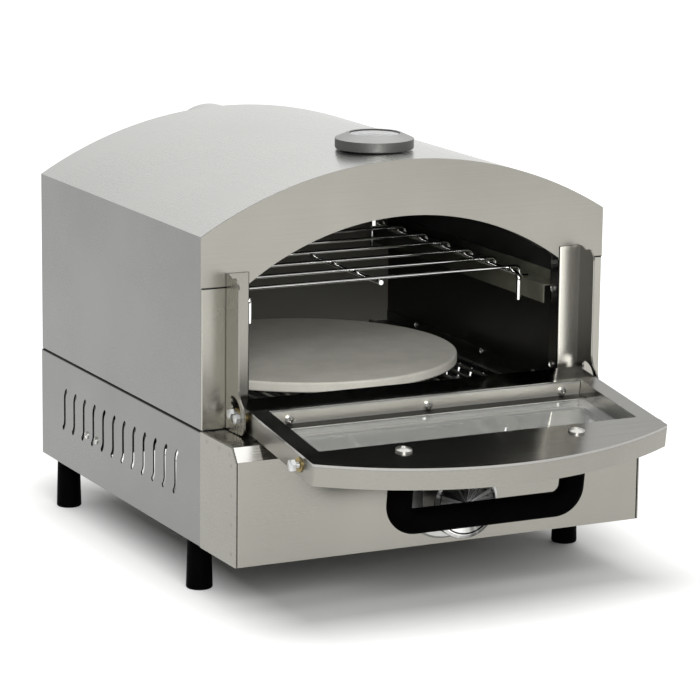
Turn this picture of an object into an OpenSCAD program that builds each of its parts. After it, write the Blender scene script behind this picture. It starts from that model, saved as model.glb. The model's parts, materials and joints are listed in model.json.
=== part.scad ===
// Countertop gas pizza oven: an arched stainless hood on a base cabinet, with a drop-down glazed door
// that hangs on two pins per side, a pizza stone on a wire grate over a looped burner, a warming rack,
// and a roof thermometer.
// X runs from left to right, Y from front to back and Z upwards. The oven stands on Z = 0, and the
// origin is the middle of the footprint of the whole oven with its door down.

/* [Body] */
// Width of the oven body
body_w = 400; // [390:1:420]
// Depth of the hood, from its front panel to its back panel
hood_d = 377; // [372:1:400]
// Height of the base, from the feet to the hood
base_h = 104; // [100:1:120]
// Height of the hood's upright side walls
wall_h = 171; // [166:1:180]
// Rise of the arched roof above the side walls
roof_rise = 56; // [52:1:62]
// Thickness of the outer sheet
sheet_t = 1.2; // [1:0.1:1.4]
// Reach of the control box in front of the hood
box_reach = 73.5; // [70:0.5:80]
// Depth of the sloped corner along the top of the control box
slope_d = 8.5; // [6:0.5:10]
// Height of the sloped corner along the top of the control box
slope_h = 11.4; // [8:0.1:14]
// Gap left at a seam between two sheets
seam = 0.15; // [0.1:0.05:0.2]
// Outer radius of the folds along the sheets' outer edges
fold_r = 1.6; // [1.3:0.1:2]
// Step of the hood inside the base, on each side
hood_step = 0.8; // [0.5:0.1:1]
// Width of the flange that turns in under the base's back panel
rear_flange_w = 35.5; // [30:0.5:40]
// Width of the flange that turns in under the base
base_flange_w = 27; // [26:1:30]
// Width of the flange that turns in along the top of the base
top_flange_w = 25; // [22:1:27]

/* [Front opening] */
// Width of the front panel beside its opening
open_side = 45.5; // [44:0.5:47]
// Radius of the arch over the front opening
open_r = 267; // [260:1:275]
// Height of the arch centre above the base
open_centre_h = -90.3; // [-92:0.1:-88]
// Height of the front panel's lower edge above the base
fascia_h = 126; // [124:1:128]
// Depth of the lip folded back round the front opening
open_lip_d = 13; // [11:0.5:13.2]

/* [Side vents] */
// Number of slots in each side wall
vent_n = 12; // [4:1:12]
// Spacing of the slots
vent_pitch = 24; // [20:0.5:25]
// Distance of the first slot behind the hood's front
vent_start = 54; // [50:1:60]
// Height of the slots' lower tips above the base's lower edge
vent_up = 35; // [33:0.5:38]
// Height of a slot from tip to tip
vent_h = 41.7; // [36:0.1:46]
// Width of a slot
vent_w = 4.4; // [3.5:0.1:5]
// Bend radius of a slot's hooked ends
vent_hook_r = 12; // [10:0.5:14]
// Turn of a slot's hooked ends, in degrees
vent_hook_a = 48; // [35:1:55]

/* [Feet] */
// Height of a foot
foot_h = 46.4; // [35:0.2:60]
// Diameter of a foot at its top
foot_top_d = 21.4; // [20:0.2:25]
// Diameter of a foot where it stands
foot_low_d = 23.8; // [22:0.2:26]
// Distance of a foot's centre from the side of the body
foot_side = 13.2; // [13.2:0.1:14]
// Distance of a foot's centre from the front and the back of the hood
foot_end = 33; // [28:1:45]

/* [Oven cavity] */
// Distance of the cavity's side walls from the body's sides
cavity_side = 30; // [28:0.5:32]
// Height of the cavity's upright walls above the base
cavity_wall_h = 151; // [146:1:156]
// Rise of the cavity's arched roof
cavity_rise = 45; // [40:1:50]
// Thickness of the cavity sheet
liner_t = 0.8; // [0.6:0.1:1]
// Gap between the cavity's back and the hood's back panel
liner_back_gap = 9.8; // [8:0.1:11]
// Width of the foot flanges along the cavity's lower edges
liner_foot_w = 12; // [8:1:13]

/* [Stone, grate and rack] */
// Gap between the pizza stone and the cavity's side walls
stone_side_gap = 22.2; // [20:0.2:29]
// Thickness of the pizza stone
stone_t = 9.6; // [8:0.1:12]
// Rounding of the pizza stone's edges
stone_round = 2; // [1:0.5:3]
// Gap between the pizza stone and the cavity's back wall
stone_back_gap = 5.2; // [5:0.2:12]
// Diameter of the grate's wires
grate_wire_d = 3.6; // [3:0.1:4]
// Number of the grate's long wires
grate_n = 18; // [14:2:18]
// Width of the hearth beside the grate's opening
hearth_border = 19.7; // [18:0.1:22]
// Gap between the grate and the cavity's back wall
grate_back_gap = 10.2; // [8:0.2:14]
// Distance of the grate behind the hood's front
grate_front = 71; // [66:1:72]
// Width of the shelf of a rack ledge
ledge_w = 19.6; // [18:0.1:21]
// Height of a rack ledge above the base
ledge_h = 100; // [95:1:104]
// Height of a rack ledge's hanging lip
ledge_lip_h = 17; // [12:1:20]
// Diameter of the rack's cross wires
rack_wire_d = 3.4; // [2.5:0.1:3.5]
// Diameter of the rack's long rods
rack_rod_d = 4.5; // [4:0.1:5]
// Number of the rack's cross wires
rack_n = 7; // [4:1:7]
// Clearance of the rack inside the front opening, on each side
rack_clear = 0.5; // [0.4:0.1:1]
// Gap between the rack's wires and the cavity's back wall
rack_back_gap = 37.8; // [34:0.2:50]
// Distance of the first cross wire behind the hood's front
rack_front = 55; // [50:1:58]
// Length of the cross wires' ends that lie on the ledges
rack_tail = 4.5; // [4:0.1:6]
// Drop of the cross wires' bent ends
rack_drop = 9.5; // [8:0.1:12]
// Distance of the outer rods from the ends of the cross wires
rack_rod_side = 18; // [17.5:0.5:24]
// Length of the rack's legs below its rods
rack_leg_h = 24; // [18:1:26]

/* [Burner] */
// Diameter of the burner tube
burner_d = 14; // [12:0.5:16]
// Distance of the burner's long runs from the body's sides
burner_side = 75; // [74:1:85]
// Distance of the burner's ends in front of the hood's back
burner_back_gap = 45; // [40:1:80]
// Bend radius of the burner loop
burner_bend_r = 30; // [25:1:40]
// Depth of the burner's centre below the top of the base
burner_down = 18; // [16:0.5:20]
// Diameter of a burner port
port_d = 2.2; // [1.6:0.1:2.6]
// Spacing of the burner ports
port_pitch = 11; // [8:0.5:15]
// Height of the heat shield above the base's lower edge
shield_up = 62; // [60:0.5:64]
// Distance of the heat shield's edges from the body's sides
shield_side = 35; // [34:0.5:40]
// Distance of the gas supply pipe from the side of the body
supply_side = 35; // [33:1:60]

/* [Door] */
// Gap between the door's sides and the hinge brackets' ears
door_side_gap = 3.3; // [3:0.1:4]
// Thickness of the door
door_t = 19.6; // [18:0.1:20]
// Reach of the door from its pivot to the top of its arch
door_reach = 193.8; // [190:0.1:196]
// Radius of the door's arched edge
door_r = 357; // [345:1:370]
// Rounding of the door's corners
door_corner_r = 3; // [2.5:0.5:5]
// Length of the door behind its pivot
door_tail = 6; // [6:0.1:7]
// Thickness of the door's sheets
door_sheet = 1; // [0.8:0.1:1.2]
// Height of the rim on the door's inner panel
door_rim_h = 2.4; // [2:0.1:3]
// Slope of the open door, in degrees
door_tilt = 8; // [6:0.1:9]
// Width of the door's frame beside the window recess
window_side = 17.2; // [16:0.1:20]
// Distance of the window recess from the pivot line
window_start = 25.6; // [25:0.1:28]
// Distance of the window recess from the door's top
window_front = 69.3; // [68:0.1:72]
// Thickness of the gasket between the glass and the door's outer sheet
gasket_t = 1; // [0.6:0.1:1.4]
// Width of the border that carries the glass
window_border = 12; // [10:0.5:14]
// Thickness of the glass
glass_t = 3; // [2.6:0.1:4]
// Length of the strip's flange on the glass
strip_flange = 12; // [8:0.5:14]
// Depth of the strip's upper edge below the door's inner face
strip_drop = 1.5; // [0.4:0.1:2]
// Distance of the strip's outer screws from the recess's ends
strip_screw_side = 19; // [15:1:40]

/* [Hinge] */
// Distance of the pivot in front of the hood
pivot_fwd = 16; // [15:0.1:17]
// Gap between the open door and the control box it rests on
rest_gap = 0.3; // [0.2:0.05:0.5]
// Thickness of the hinge brackets
ear_t = 1.5; // [1.2:0.1:2]
// Distance of a bracket's ear from the side of the body
ear_side = 23; // [22.5:0.1:23.5]
// Width of the slots that the pins run in
pin_slot_w = 7; // [6.6:0.1:7]
// Clearance all round the pivot pin
pin_fit = 0.05; // [0.03:0.01:0.08]
// Distance from the pivot to the guide pin
guide_r = 12.5; // [12.2:0.1:13]
// Lift of the pins in their slots
pin_lift = 4.3; // [3:0.1:4.5]
// Height of the raised door's catch bolts above the brackets' tops
catch_rise = 4.1; // [4:0.1:4.5]
// Reach of a bracket's ear along its straight front edge
ear_reach = 26.5; // [26:0.1:28]
// Reach of a bracket's ear round the pins
ear_low_reach = 39.2; // [38:0.1:40]
// Distance of the catch bolts from the ends of the door's sides
catch_in = 22.9; // [21:0.1:24]

/* [Handle] */
// Distance between the handle's legs
handle_w = 168; // [150:1:180]
// Diameter of the handle's bar
handle_d = 22; // [18:0.5:24]
// Distance of the handle from the door's top
handle_in = 51.7; // [50:0.1:53]
// Distance of the bar's centre from the door
handle_off = 46.2; // [42:0.1:50]
// Bend radius of the handle
handle_bend_r = 25; // [20:0.5:28]

/* [Knob] */
// Height of the knob's centre above the base's lower edge
knob_up = 46; // [45:0.5:48]
// Diameter of the knob
knob_d = 63; // [56:0.5:66]
// Reach of the knob in front of its panel
knob_reach = 44; // [42:0.5:46]
// Travel of the knob when it is pressed
knob_travel = 4; // [3:0.1:5]
// Diameter of the bezel behind the knob
bezel_d = 82; // [76:1:86]
// Thickness of the bezel
bezel_t = 4; // [3:0.1:5]
// Diameter of the valve stem
stem_d = 6; // [5:0.1:7]

/* [Thermometer] */
// Diameter of the thermometer
gauge_d = 71.2; // [66:0.2:78]
// Height of the thermometer's upright rim
gauge_wall_h = 8.8; // [8:0.1:10]
// Height of the rim's slope
gauge_slope_h = 4.9; // [4:0.1:6]
// Width of the rim's slope
gauge_slope_w = 11; // [9:0.2:13]
// Gap between the roof's crown and the rim
gauge_gap = 1; // [0.8:0.1:2]
// Distance of the thermometer behind the hood's front
gauge_y = 68; // [60:1:90]
// Length of the probe below the roof
probe_len = 70; // [50:1:85]

/* [Exhaust] */
// Reach of the exhaust cowl behind the hood
cowl_d = 58; // [50:1:65]
// Half of the width of the exhaust cowl
cowl_half_w = 45; // [40:1:50]
// Distance of the cowl's crown below the roof's crown
cowl_drop = 6; // [5:0.5:10]
// Height of the cowl
cowl_h = 85; // [75:1:90]

/* [Hidden] */
$fn = 64;

// Heights of the body's levels
half_w = body_w / 2;
base_half_w = half_w + hood_step;
base_z = foot_h;
seam_z = foot_h + base_h;
eave_z = seam_z + wall_h;
crown_z = eave_z + roof_rise;
roof_r = (half_w * half_w + roof_rise * roof_rise) / (2 * roof_rise);
roof_centre_z = crown_z - roof_r;
open_half_w = half_w - open_side;
open_centre_z = seam_z + open_centre_h;
fascia_z = seam_z + fascia_h;
// A cut that passes clean through runs past its faces by this much
past = 1;

// The open door rests on the front edge of the control box
rest_edge_y = slope_d - box_reach;
half_door_t = door_t / 2;
pivot_y = -pivot_fwd;
rest_arm = pivot_y - rest_edge_y;
pivot_z = seam_z + (half_door_t + rest_gap + rest_arm * sin(door_tilt)) / cos(door_tilt);
door_front_y = pivot_y - door_reach * cos(door_tilt) - half_door_t * sin(door_tilt);
overall_back_y = hood_d + cowl_d;
// Distance that brings the middle of the footprint to the origin
origin_y = -(overall_back_y + door_front_y) / 2;

// Cavity
cavity_half_w = half_w - cavity_side;
hearth_z = seam_z + sheet_t;
cavity_eave_z = seam_z + cavity_wall_h;
cavity_r = (cavity_half_w * cavity_half_w + cavity_rise * cavity_rise) / (2 * cavity_rise);
cavity_centre_z = cavity_eave_z + cavity_rise - cavity_r;
jamb_x = open_half_w + ear_t;
frame_y = sheet_t + open_lip_d + 0.6;
liner_front_y = frame_y + sheet_t;
liner_back_y = hood_d - sheet_t - liner_back_gap;
liner_inner_w = cavity_half_w - liner_t;
liner_inner_back = liner_back_y - liner_t;
hearth_hole_half_w = liner_inner_w - hearth_border;
grate_edge = 5;
grate_seat = 3;
grate_back = liner_inner_back - grate_back_gap;
hearth_hole_front = grate_front + grate_seat;
hearth_hole_back = grate_back - grate_seat;
hearth_lip_h = 11;
hearth_lip_x = liner_inner_w - seam;
hearth_screw_y = [65, 165, 300];
hearth_screw_z = seam_z + 7.5;

// Grate, stone and rack. The wires' spot welds hold them this far apart
weld = 0.03;
grate_pitch = 2 * (hearth_hole_half_w - grate_edge) / (grate_n - 1);
stone_r = liner_inner_w - stone_side_gap;
stone_y = liner_inner_back - stone_back_gap - stone_r;
grate_wire_z = hearth_z + grate_wire_d / 2;
stone_low_z = hearth_z + grate_wire_d + 0.1;
ledge_z = seam_z + ledge_h;
ledge_inner_x = liner_inner_w - ledge_w;
rack_end_z = ledge_z + rack_wire_d / 2 + 0.1;
rack_z = rack_end_z + rack_drop;
rack_rod_z = rack_z - rack_wire_d / 2 - rack_rod_d / 2 - weld;
rack_end_x = open_half_w - rack_clear;
rack_half_w = rack_end_x - rack_tail - rack_drop;
rack_rod_x = rack_end_x - rack_rod_side;
rack_back = liner_inner_back - rack_back_gap;
rack_pitch = (rack_back - rack_front) / (rack_n - 1);
rod_bend_r = 6;
rack_leg_front_y = rack_front - 9 - rod_bend_r;
rack_leg_back_y = rack_back + 4 + rod_bend_r;

// Burner and gas train
burner_z = seam_z - burner_down;
burner_front_y = 52;
burner_socket_y = burner_front_y - 12;
burner_back_y = hood_d - burner_back_gap;
burner_w = 2 * (half_w - burner_side);
side_screw_y = [239, 262];
side_screw_z = base_z + 43;
shield_z = base_z + shield_up;
knob_z = base_z + knob_up;
panel_y = -box_reach;
panel_back_y = panel_y + sheet_t;
face_t = 2.2;
tube_bend_r = (burner_z - knob_z) / 2;
supply_z = knob_z - 16;
supply_x = half_w - supply_side;
supply_y = panel_back_y + 26;
supply_d = 8;
inlet_d = 15.8;
inlet_len = 12;

// Hinge
ear_x = half_w - ear_side;
ear_inner_x = ear_x - ear_t;
spacer_gap = 0.15;
bracket_z = seam_z + 1;
bracket_d = 14;
bolt_head_t = 4.2;
bolt_head_flats = 8;
catch_head_flats = 9.6;
catch_head_t = 4;
pin_d = pin_slot_w - 2 * pin_fit;
guide_d = pin_slot_w - 0.6;
nut_t = 4;

// Door
door_half_w = ear_inner_x - door_side_gap;
window_half_w = door_half_w - window_side;
window_end = door_reach - window_front;
strip_screw_x = window_half_w - strip_screw_side;
handle_at = door_reach - handle_in;
door_arc_at = door_reach - door_r;
corner_at = door_arc_at + sqrt(pow(door_r - door_corner_r, 2) - pow(door_half_w - door_corner_r, 2));
catch_at = corner_at - catch_in;
bracket_top_z = pivot_z + catch_at - catch_rise;
bracket_screw_z = [bracket_z + 26, fascia_z - 28];
bracket_screw_y = 8.5;
glass_low = door_sheet - half_door_t + gasket_t + seam;
glass_top = glass_low + glass_t;
strip_t = 1;
strip_head_d = 8.2;
strip_top = half_door_t - strip_drop;
strip_screw_z = glass_top + seam + strip_t + strip_head_d / 2 + 0.1;
strip_screws = [-strip_screw_x, 0, strip_screw_x];
handle_washer_t = 1.2;
handle_thread = 12;

// Thermometer
gauge_low_z = crown_z + gauge_gap;
gauge_rim_z = gauge_low_z + gauge_wall_h;
gauge_top_z = gauge_rim_z + gauge_slope_h;
gauge_face_r = gauge_d / 2 - gauge_slope_w;
gauge_window_r = gauge_face_r - 1.6;
lens_z = gauge_top_z - 5;
dial_z = gauge_low_z + 3.6;

// Cowl
cowl_top_z = crown_z - cowl_drop;
cowl_low_z = cowl_top_z - cowl_h;
cowl_centre_z = cowl_top_z - cowl_half_w;
flue_half_w = 33;
flue_low_z = cowl_low_z + 18;
flue_high_z = cowl_low_z + 56;
flue_screw_at = [
    [-cowl_half_w - 5, cowl_low_z + 8],
    [cowl_half_w + 5, cowl_low_z + 8],
    [-cowl_half_w - 5, cowl_centre_z - 6],
    [cowl_half_w + 5, cowl_centre_z - 6]
];

// Moves a sub-part from the hood's front plane to the footprint's middle
module place() {
    translate([0, origin_y, 0]) children();
}

// Moves a shape up
module up(z) {
    translate([0, 0, z]) children();
}

// Draws a sub-part on both sides of the oven
module both_sides() {
    children();
    mirror([1, 0, 0]) children();
}

// Turns a drawing of Y and Z into a plate of thickness t that starts at x
module plate_x(x, t) {
    translate([x, 0, 0]) rotate([90, 0, 90]) linear_extrude(t) children();
}

// Turns a drawing of X and Z into a plate of thickness t that starts at y
module plate_y(y, t) {
    translate([0, y + t, 0]) rotate([90, 0, 0]) linear_extrude(t) children();
}

// A round rod along X, Y or Z from a point
module rod_x(from, len, d) {
    translate(from) rotate([0, 90, 0]) cylinder(h = len, d = d);
}
module rod_y(from, len, d) {
    translate(from) rotate([-90, 0, 0]) cylinder(h = len, d = d);
}
module rod_z(from, len, d) {
    translate(from) cylinder(h = len, d = d);
}

// A quarter bend of round rod in the XY plane, centred on the origin, from +X round to +Y
module quarter_bend(r, d) {
    rotate_extrude(angle = 90) translate([r, 0]) circle(d = d);
}

// A quarter bend in the YZ plane about a centre, from an angle measured from +Y
module bend_yz(centre, from, r, d) {
    translate(centre) rotate([90, 0, 90]) rotate(from) quarter_bend(r, d);
}

// A wedge of the plane from the origin between two angles less than a half turn apart
module wedge(reach, from, to) {
    far = reach / cos((to - from) / 2);
    middle = (from + to) / 2;
    polygon([[0, 0], far * [cos(from), sin(from)], far * [cos(middle), sin(middle)], far * [cos(to), sin(to)]]);
}

// A curved band of width w along a circle of radius r
module band(r, w, from, to) {
    intersection() {
        difference() {
            circle(r + w / 2);
            circle(r - w / 2);
        }
        wedge(r + w, from, to);
    }
}

// A curved band with round ends
module round_band(r, w, from, to) {
    band(r, w, from, to);
    for (a = [from, to]) translate(r * [cos(a), sin(a)]) circle(d = w);
}

// A slot with round ends, centred on the origin
module slot(w, h) {
    translate([-w / 2, (w - h) / 2]) square([w, h - w]);
    for (side = [-1, 1]) translate([0, side * (h - w) / 2]) circle(d = w);
}

// A rectangle with one corner on the origin and rounded corners
module round_rect(w, h, r) {
    translate([r, 0]) square([w - 2 * r, h]);
    translate([0, r]) square([w, h - 2 * r]);
    for (x = [r, w - r], y = [r, h - r]) translate([x, y]) circle(r);
}

// What has to go from a corner at the origin to round it towards -X and -Y
module corner_waste(r) {
    difference() {
        translate([-r, -r]) square([r + past, r + past]);
        translate([-r, -r]) circle(r);
    }
}

// An upright wall outline with an arched top, drawn in X and Z
module arch(hw, low, r, centre_z) {
    eave = centre_z + sqrt(r * r - hw * hw);
    translate([-hw, low]) square([2 * hw, eave - low]);
    intersection() {
        translate([0, centre_z]) circle(r);
        translate([-hw, eave - past]) square([2 * hw, r]);
    }
}

// The hood's arched outline, made smaller by an inset
module hood_arch(inset, low) {
    arch(half_w - inset, low, roof_r - inset, roof_centre_z);
}

// The front opening's outline, made larger by a margin
module opening_arch(margin, low) {
    arch(open_half_w + margin, low, open_r + margin, open_centre_z);
}

// A domed screw that points along -Z with its head's underside on the origin
module pan_screw(head_d, head_h, len, d) {
    head_r = head_d / 2;
    dome_h = head_h / 2;
    dome_r = (head_r * head_r + dome_h * dome_h) / (2 * dome_h);
    rotate_extrude() intersection() {
        square([head_r, head_h]);
        translate([0, head_h - dome_r]) circle(dome_r);
    }
    up(-len) cylinder(h = len + past, d = d);
}

// A hexagon prism of the given width across its flats
module hexagon(flats, h) {
    cylinder(h = h, d = flats / cos(30), $fn = 6);
}

// ---- Base cabinet ----

// One S-shaped vent slot, drawn in Y and Z about its middle
module vent_slot() {
    tip = vent_w / 2;
    // A hair wider than the slot, so that their edges cross instead of only touching
    cap_r = tip + 0.03;
    hook = vent_hook_r * sin(vent_hook_a);
    straight = vent_h / 2 - tip - hook;
    translate([-tip, -straight]) square([vent_w, 2 * straight]);
    translate([-vent_hook_r, straight]) band(vent_hook_r, vent_w, 0, vent_hook_a);
    translate([-vent_hook_r, straight]) rotate(vent_hook_a) translate([vent_hook_r, 0]) circle(cap_r);
    translate([vent_hook_r, -straight]) band(vent_hook_r, vent_w, 180, 180 + vent_hook_a);
    translate([vent_hook_r, -straight]) rotate(180 + vent_hook_a) translate([vent_hook_r, 0]) circle(cap_r);
}

// One side wall of the base with its turned-in flanges, on the right
module base_wall() {
    wall_x = base_half_w - sheet_t;
    difference() {
        plate_y(0, hood_d) difference() {
            translate([half_w - base_flange_w, base_z]) square([hood_step + base_flange_w, base_h]);
            translate([0, base_z + sheet_t]) square([wall_x, base_h - 2 * sheet_t]);
            translate([0, seam_z - sheet_t - past]) square([half_w - top_flange_w, 2 * sheet_t + past]);
            translate([base_half_w, seam_z]) corner_waste(fold_r);
            translate([base_half_w, base_z]) mirror([0, 1]) corner_waste(fold_r);
        }
        plate_x(wall_x - sheet_t, 3 * sheet_t) {
            for (i = [0 : vent_n - 1]) {
                translate([vent_start + i * vent_pitch, base_z + vent_up + vent_h / 2]) vent_slot();
            }
        }
        for (y = [foot_end, hood_d - foot_end]) {
            rod_z([half_w - foot_side, y, base_z - past], sheet_t + 2 * past, 6.4);
        }
        for (y = side_screw_y) rod_x([wall_x - past, y, side_screw_z], sheet_t + 2 * past, 4.4);
        // The back panel's flanges close these ends
        translate([0, hood_d - sheet_t, base_z - past]) cube([wall_x, 2 * sheet_t, base_h + 2 * past]);
    }
}

module base_shell() {
    color("silver") place() {
        both_sides() base_wall();
        // Rail that ties the side walls together under the hood's front
        difference() {
            translate([top_flange_w - half_w, sheet_t, seam_z - 14]) {
                cube([body_w - 2 * top_flange_w, 16, 14]);
            }
            translate([top_flange_w - half_w - past, 2 * sheet_t, seam_z - 14 - past]) {
                cube([body_w - 2 * top_flange_w + 2 * past, 16, 14 + past - sheet_t]);
            }
        }
    }
}

module base_rear_panel() {
    panel_half_w = base_half_w - sheet_t - seam;
    top_half_w = half_w - top_flange_w - seam;
    low_half_w = half_w - base_flange_w - seam;
    top_flange_d = 14;
    color("silver") place() difference() {
        union() {
            plate_y(hood_d - sheet_t, sheet_t) {
                translate([-panel_half_w, base_z]) square([2 * panel_half_w, base_h]);
            }
            translate([-top_half_w, hood_d - top_flange_d, seam_z - sheet_t]) {
                cube([2 * top_half_w, top_flange_d, sheet_t]);
            }
            translate([-low_half_w, hood_d - rear_flange_w, base_z]) {
                cube([2 * low_half_w, rear_flange_w, sheet_t]);
            }
        }
        rod_y([supply_x, hood_d - sheet_t - past, supply_z], sheet_t + 2 * past, 12.4);
        plate_y(hood_d - 2 * sheet_t, 3 * sheet_t) {
            for (i = [-6 : 6]) translate([i * 18, base_z + 74]) slot(4.2, 24);
        }
    }
}

// The control box's outline in Y and Z, with its outer faces inset by t
module box_outline(t) {
    slope_a = atan2(slope_h, slope_d);
    polygon([
        [0, seam_z - t],
        [slope_d - box_reach + t * tan(slope_a / 2), seam_z - t],
        [t - box_reach, seam_z - slope_h - t * tan((90 - slope_a) / 2)],
        [t - box_reach, base_z + t],
        [0, base_z + t]
    ]);
}

// What has to go from the control panel's right-hand end to fold it back
module panel_end_waste(end_x) {
    // Start, turn and length of the front, the slope and the top
    for (run = [
        [panel_y, base_z, 0, base_h - slope_h],
        [panel_y, seam_z - slope_h, -atan2(slope_d, slope_h), sqrt(slope_d * slope_d + slope_h * slope_h)],
        [panel_y + slope_d, seam_z, -90, box_reach]
    ]) {
        translate([end_x, run[0], run[1]]) rotate([run[2], 0, 0]) linear_extrude(run[3]) {
            mirror([0, 1]) corner_waste(fold_r);
        }
    }
}

module control_panel() {
    lip_d = 16;
    flange_d = 14;
    color("silver") place() {
        end_x = base_half_w - sheet_t - 2 * seam;
        difference() {
            union() {
                plate_x(-end_x, 2 * end_x) difference() {
                    box_outline(0);
                    box_outline(sheet_t);
                    // Open at the back, and underneath behind the turned-in lip
                    translate([-sheet_t, base_z - past]) square([2 * sheet_t, base_h - sheet_t]);
                    translate([lip_d - box_reach, base_z - past]) square([box_reach, sheet_t + 2 * past]);
                }
                // Flanges folded back behind the side plates
                both_sides() plate_x(end_x - sheet_t, sheet_t) difference() {
                    box_outline(sheet_t);
                    translate([flange_d - box_reach, base_z]) square([box_reach, base_h - flange_d]);
                    translate([-2 * sheet_t, base_z]) square([2 * sheet_t, base_h]);
                }
            }
            rod_y([0, panel_y - past, knob_z], sheet_t + 2 * past, 26);
            for (x = [-17, 17]) rod_y([x, panel_y - past, knob_z], sheet_t + 2 * past, 4.4);
            both_sides() panel_end_waste(end_x);
        }
    }
}

// A side plate of the control box, on the right
module control_side() {
    flange_w = 14;
    plate_x(base_half_w - sheet_t, sheet_t) box_outline(0);
    plate_x(base_half_w - flange_w, flange_w - sheet_t) {
        translate([-sheet_t, base_z + 2]) square([sheet_t, base_h - 6]);
    }
}

module control_side_left() {
    color("silver") place() mirror([1, 0, 0]) control_side();
}

module control_side_right() {
    color("silver") place() control_side();
}

// A foot on the left when side is -1 and on the right when it is 1
module foot(side, y) {
    top_r = foot_top_d / 2;
    low_r = foot_low_d / 2;
    edge_r = 2;
    color("black") place() translate([side * (half_w - foot_side), y, 0]) difference() {
        rotate_extrude() {
            polygon([[0, 0], [low_r - edge_r, 0], [low_r - edge_r, edge_r], [low_r, edge_r], [top_r, foot_h],
                [0, foot_h]]);
            intersection() {
                translate([low_r - edge_r, edge_r]) circle(edge_r);
                translate([low_r - edge_r, 0]) square(edge_r);
            }
        }
        up(-past) cylinder(h = 10 + past, d = 13);
        cylinder(h = foot_h + past, d = 6.6);
    }
}

module foot_front_left() {
    foot(-1, foot_end);
}

module foot_front_right() {
    foot(1, foot_end);
}

module foot_back_left() {
    foot(-1, hood_d - foot_end);
}

module foot_back_right() {
    foot(1, hood_d - foot_end);
}

module foot_bolts() {
    color("gray") place() {
        for (side = [-1, 1], y = [foot_end, hood_d - foot_end]) {
            translate([side * (half_w - foot_side), y, 0]) {
                up(6) hexagon(10, 4);
                up(6) cylinder(h = foot_h + sheet_t + 1, d = 6);
                up(base_z + sheet_t) hexagon(10, 5);
            }
        }
    }
}

module side_screws() {
    color("silver") place() both_sides() {
        for (y = side_screw_y) {
            translate([base_half_w, y, side_screw_z]) rotate([0, 90, 0]) pan_screw(7, 2, 6, 4);
        }
    }
}

// ---- Burner and gas train ----

module heat_shield() {
    shield_half_w = half_w - shield_side;
    shield_front = 40;
    shield_back = hood_d - 14;
    shield_rim_h = 9;
    tab_x = base_half_w - 2 * sheet_t;
    tab_y = side_screw_y[0] - 7;
    tab_len = side_screw_y[1] - side_screw_y[0] + 14;
    tab_low = side_screw_z - 6;
    color("gray") place() {
        difference() {
            translate([-shield_half_w, shield_front, shield_z]) {
                cube([2 * shield_half_w, shield_back - shield_front, shield_rim_h]);
            }
            translate([sheet_t - shield_half_w, shield_front + sheet_t, shield_z + sheet_t]) {
                cube([2 * (shield_half_w - sheet_t), shield_back - shield_front - 2 * sheet_t, shield_rim_h]);
            }
        }
        // Arms out to the side walls, with tabs that the side screws hold
        both_sides() difference() {
            union() {
                translate([shield_half_w - sheet_t, tab_y, shield_z]) {
                    cube([tab_x + 2 * sheet_t - shield_half_w, tab_len, sheet_t]);
                }
                translate([tab_x, tab_y, tab_low]) cube([sheet_t, tab_len, shield_z + sheet_t - tab_low]);
            }
            for (y = side_screw_y) rod_x([tab_x - past, y, side_screw_z], sheet_t + 2 * past, 4.2);
        }
    }
}

module burner_tube() {
    run_x = burner_w / 2;
    run_y = burner_front_y + burner_bend_r;
    run_len = burner_back_y - run_y;
    color("gray") place() difference() {
        union() {
            rod_x([burner_bend_r - run_x, burner_front_y, burner_z], burner_w - 2 * burner_bend_r, burner_d);
            rod_y([0, burner_socket_y, burner_z], burner_front_y - burner_socket_y, burner_d);
            both_sides() {
                rod_y([run_x, run_y, burner_z], run_len, burner_d);
                translate([run_x - burner_bend_r, run_y, burner_z]) rotate([0, 0, -90]) {
                    quarter_bend(burner_bend_r, burner_d);
                }
            }
        }
        for (side = [-1, 1], y = [run_y + 6 : port_pitch : run_y + run_len - 8]) {
            rod_z([side * run_x, y, burner_z + 2], burner_d, port_d);
        }
        for (x = [-8 : 8]) rod_z([x * port_pitch, burner_front_y, burner_z + 2], burner_d, port_d);
    }
}

module burner_brackets() {
    low = shield_z + sheet_t;
    high = burner_z - burner_d / 2;
    back = burner_back_y - 20;
    color("gray") place() both_sides() {
        translate([burner_w / 2 - 9, back, low]) cube([18, 14, sheet_t]);
        difference() {
            translate([burner_w / 2 - 9, back, low]) cube([18, sheet_t, high - low + 5]);
            rod_y([burner_w / 2, back - past, burner_z], 4, burner_d + 0.2);
        }
    }
}

module venturi_tube() {
    mouth_y = panel_back_y + 46;
    bend_y = burner_socket_y - 3 - 2 * tube_bend_r;
    riser_y = bend_y + tube_bend_r;
    venturi_d = 13;
    color("gray") place() {
        difference() {
            union() {
                rod_y([0, mouth_y, knob_z], bend_y - mouth_y, venturi_d);
                rod_y([0, mouth_y, knob_z], 14, 18);
            }
            rod_y([0, mouth_y - past, knob_z], 13, 15);
            // Air windows round the mouth
            for (a = [0, 90]) {
                translate([0, mouth_y + 4, knob_z]) rotate([0, a, 0]) translate([-20, 0, -2.5]) cube([40, 7, 5]);
            }
        }
        bend_yz([0, bend_y, knob_z + tube_bend_r], -90, tube_bend_r, venturi_d);
        bend_yz([0, riser_y + tube_bend_r, burner_z - tube_bend_r], 90, tube_bend_r, venturi_d);
        rod_y([0, riser_y + tube_bend_r, burner_z], 3, venturi_d);
    }
}

module igniter_electrode() {
    foot_y = burner_front_y + 17;
    low = shield_z + sheet_t;
    color("white") place() translate([40, foot_y, low]) {
        translate([-6, -3, 0]) cube([12, 16, sheet_t]);
        up(sheet_t) cylinder(h = burner_z - low - 4, d = 6);
        cylinder(h = burner_z - low + 8, d = 1.6);
        up(burner_z - low + 7.2) rotate([90, 0, 0]) cylinder(h = 14, d = 1.6);
    }
}

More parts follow.
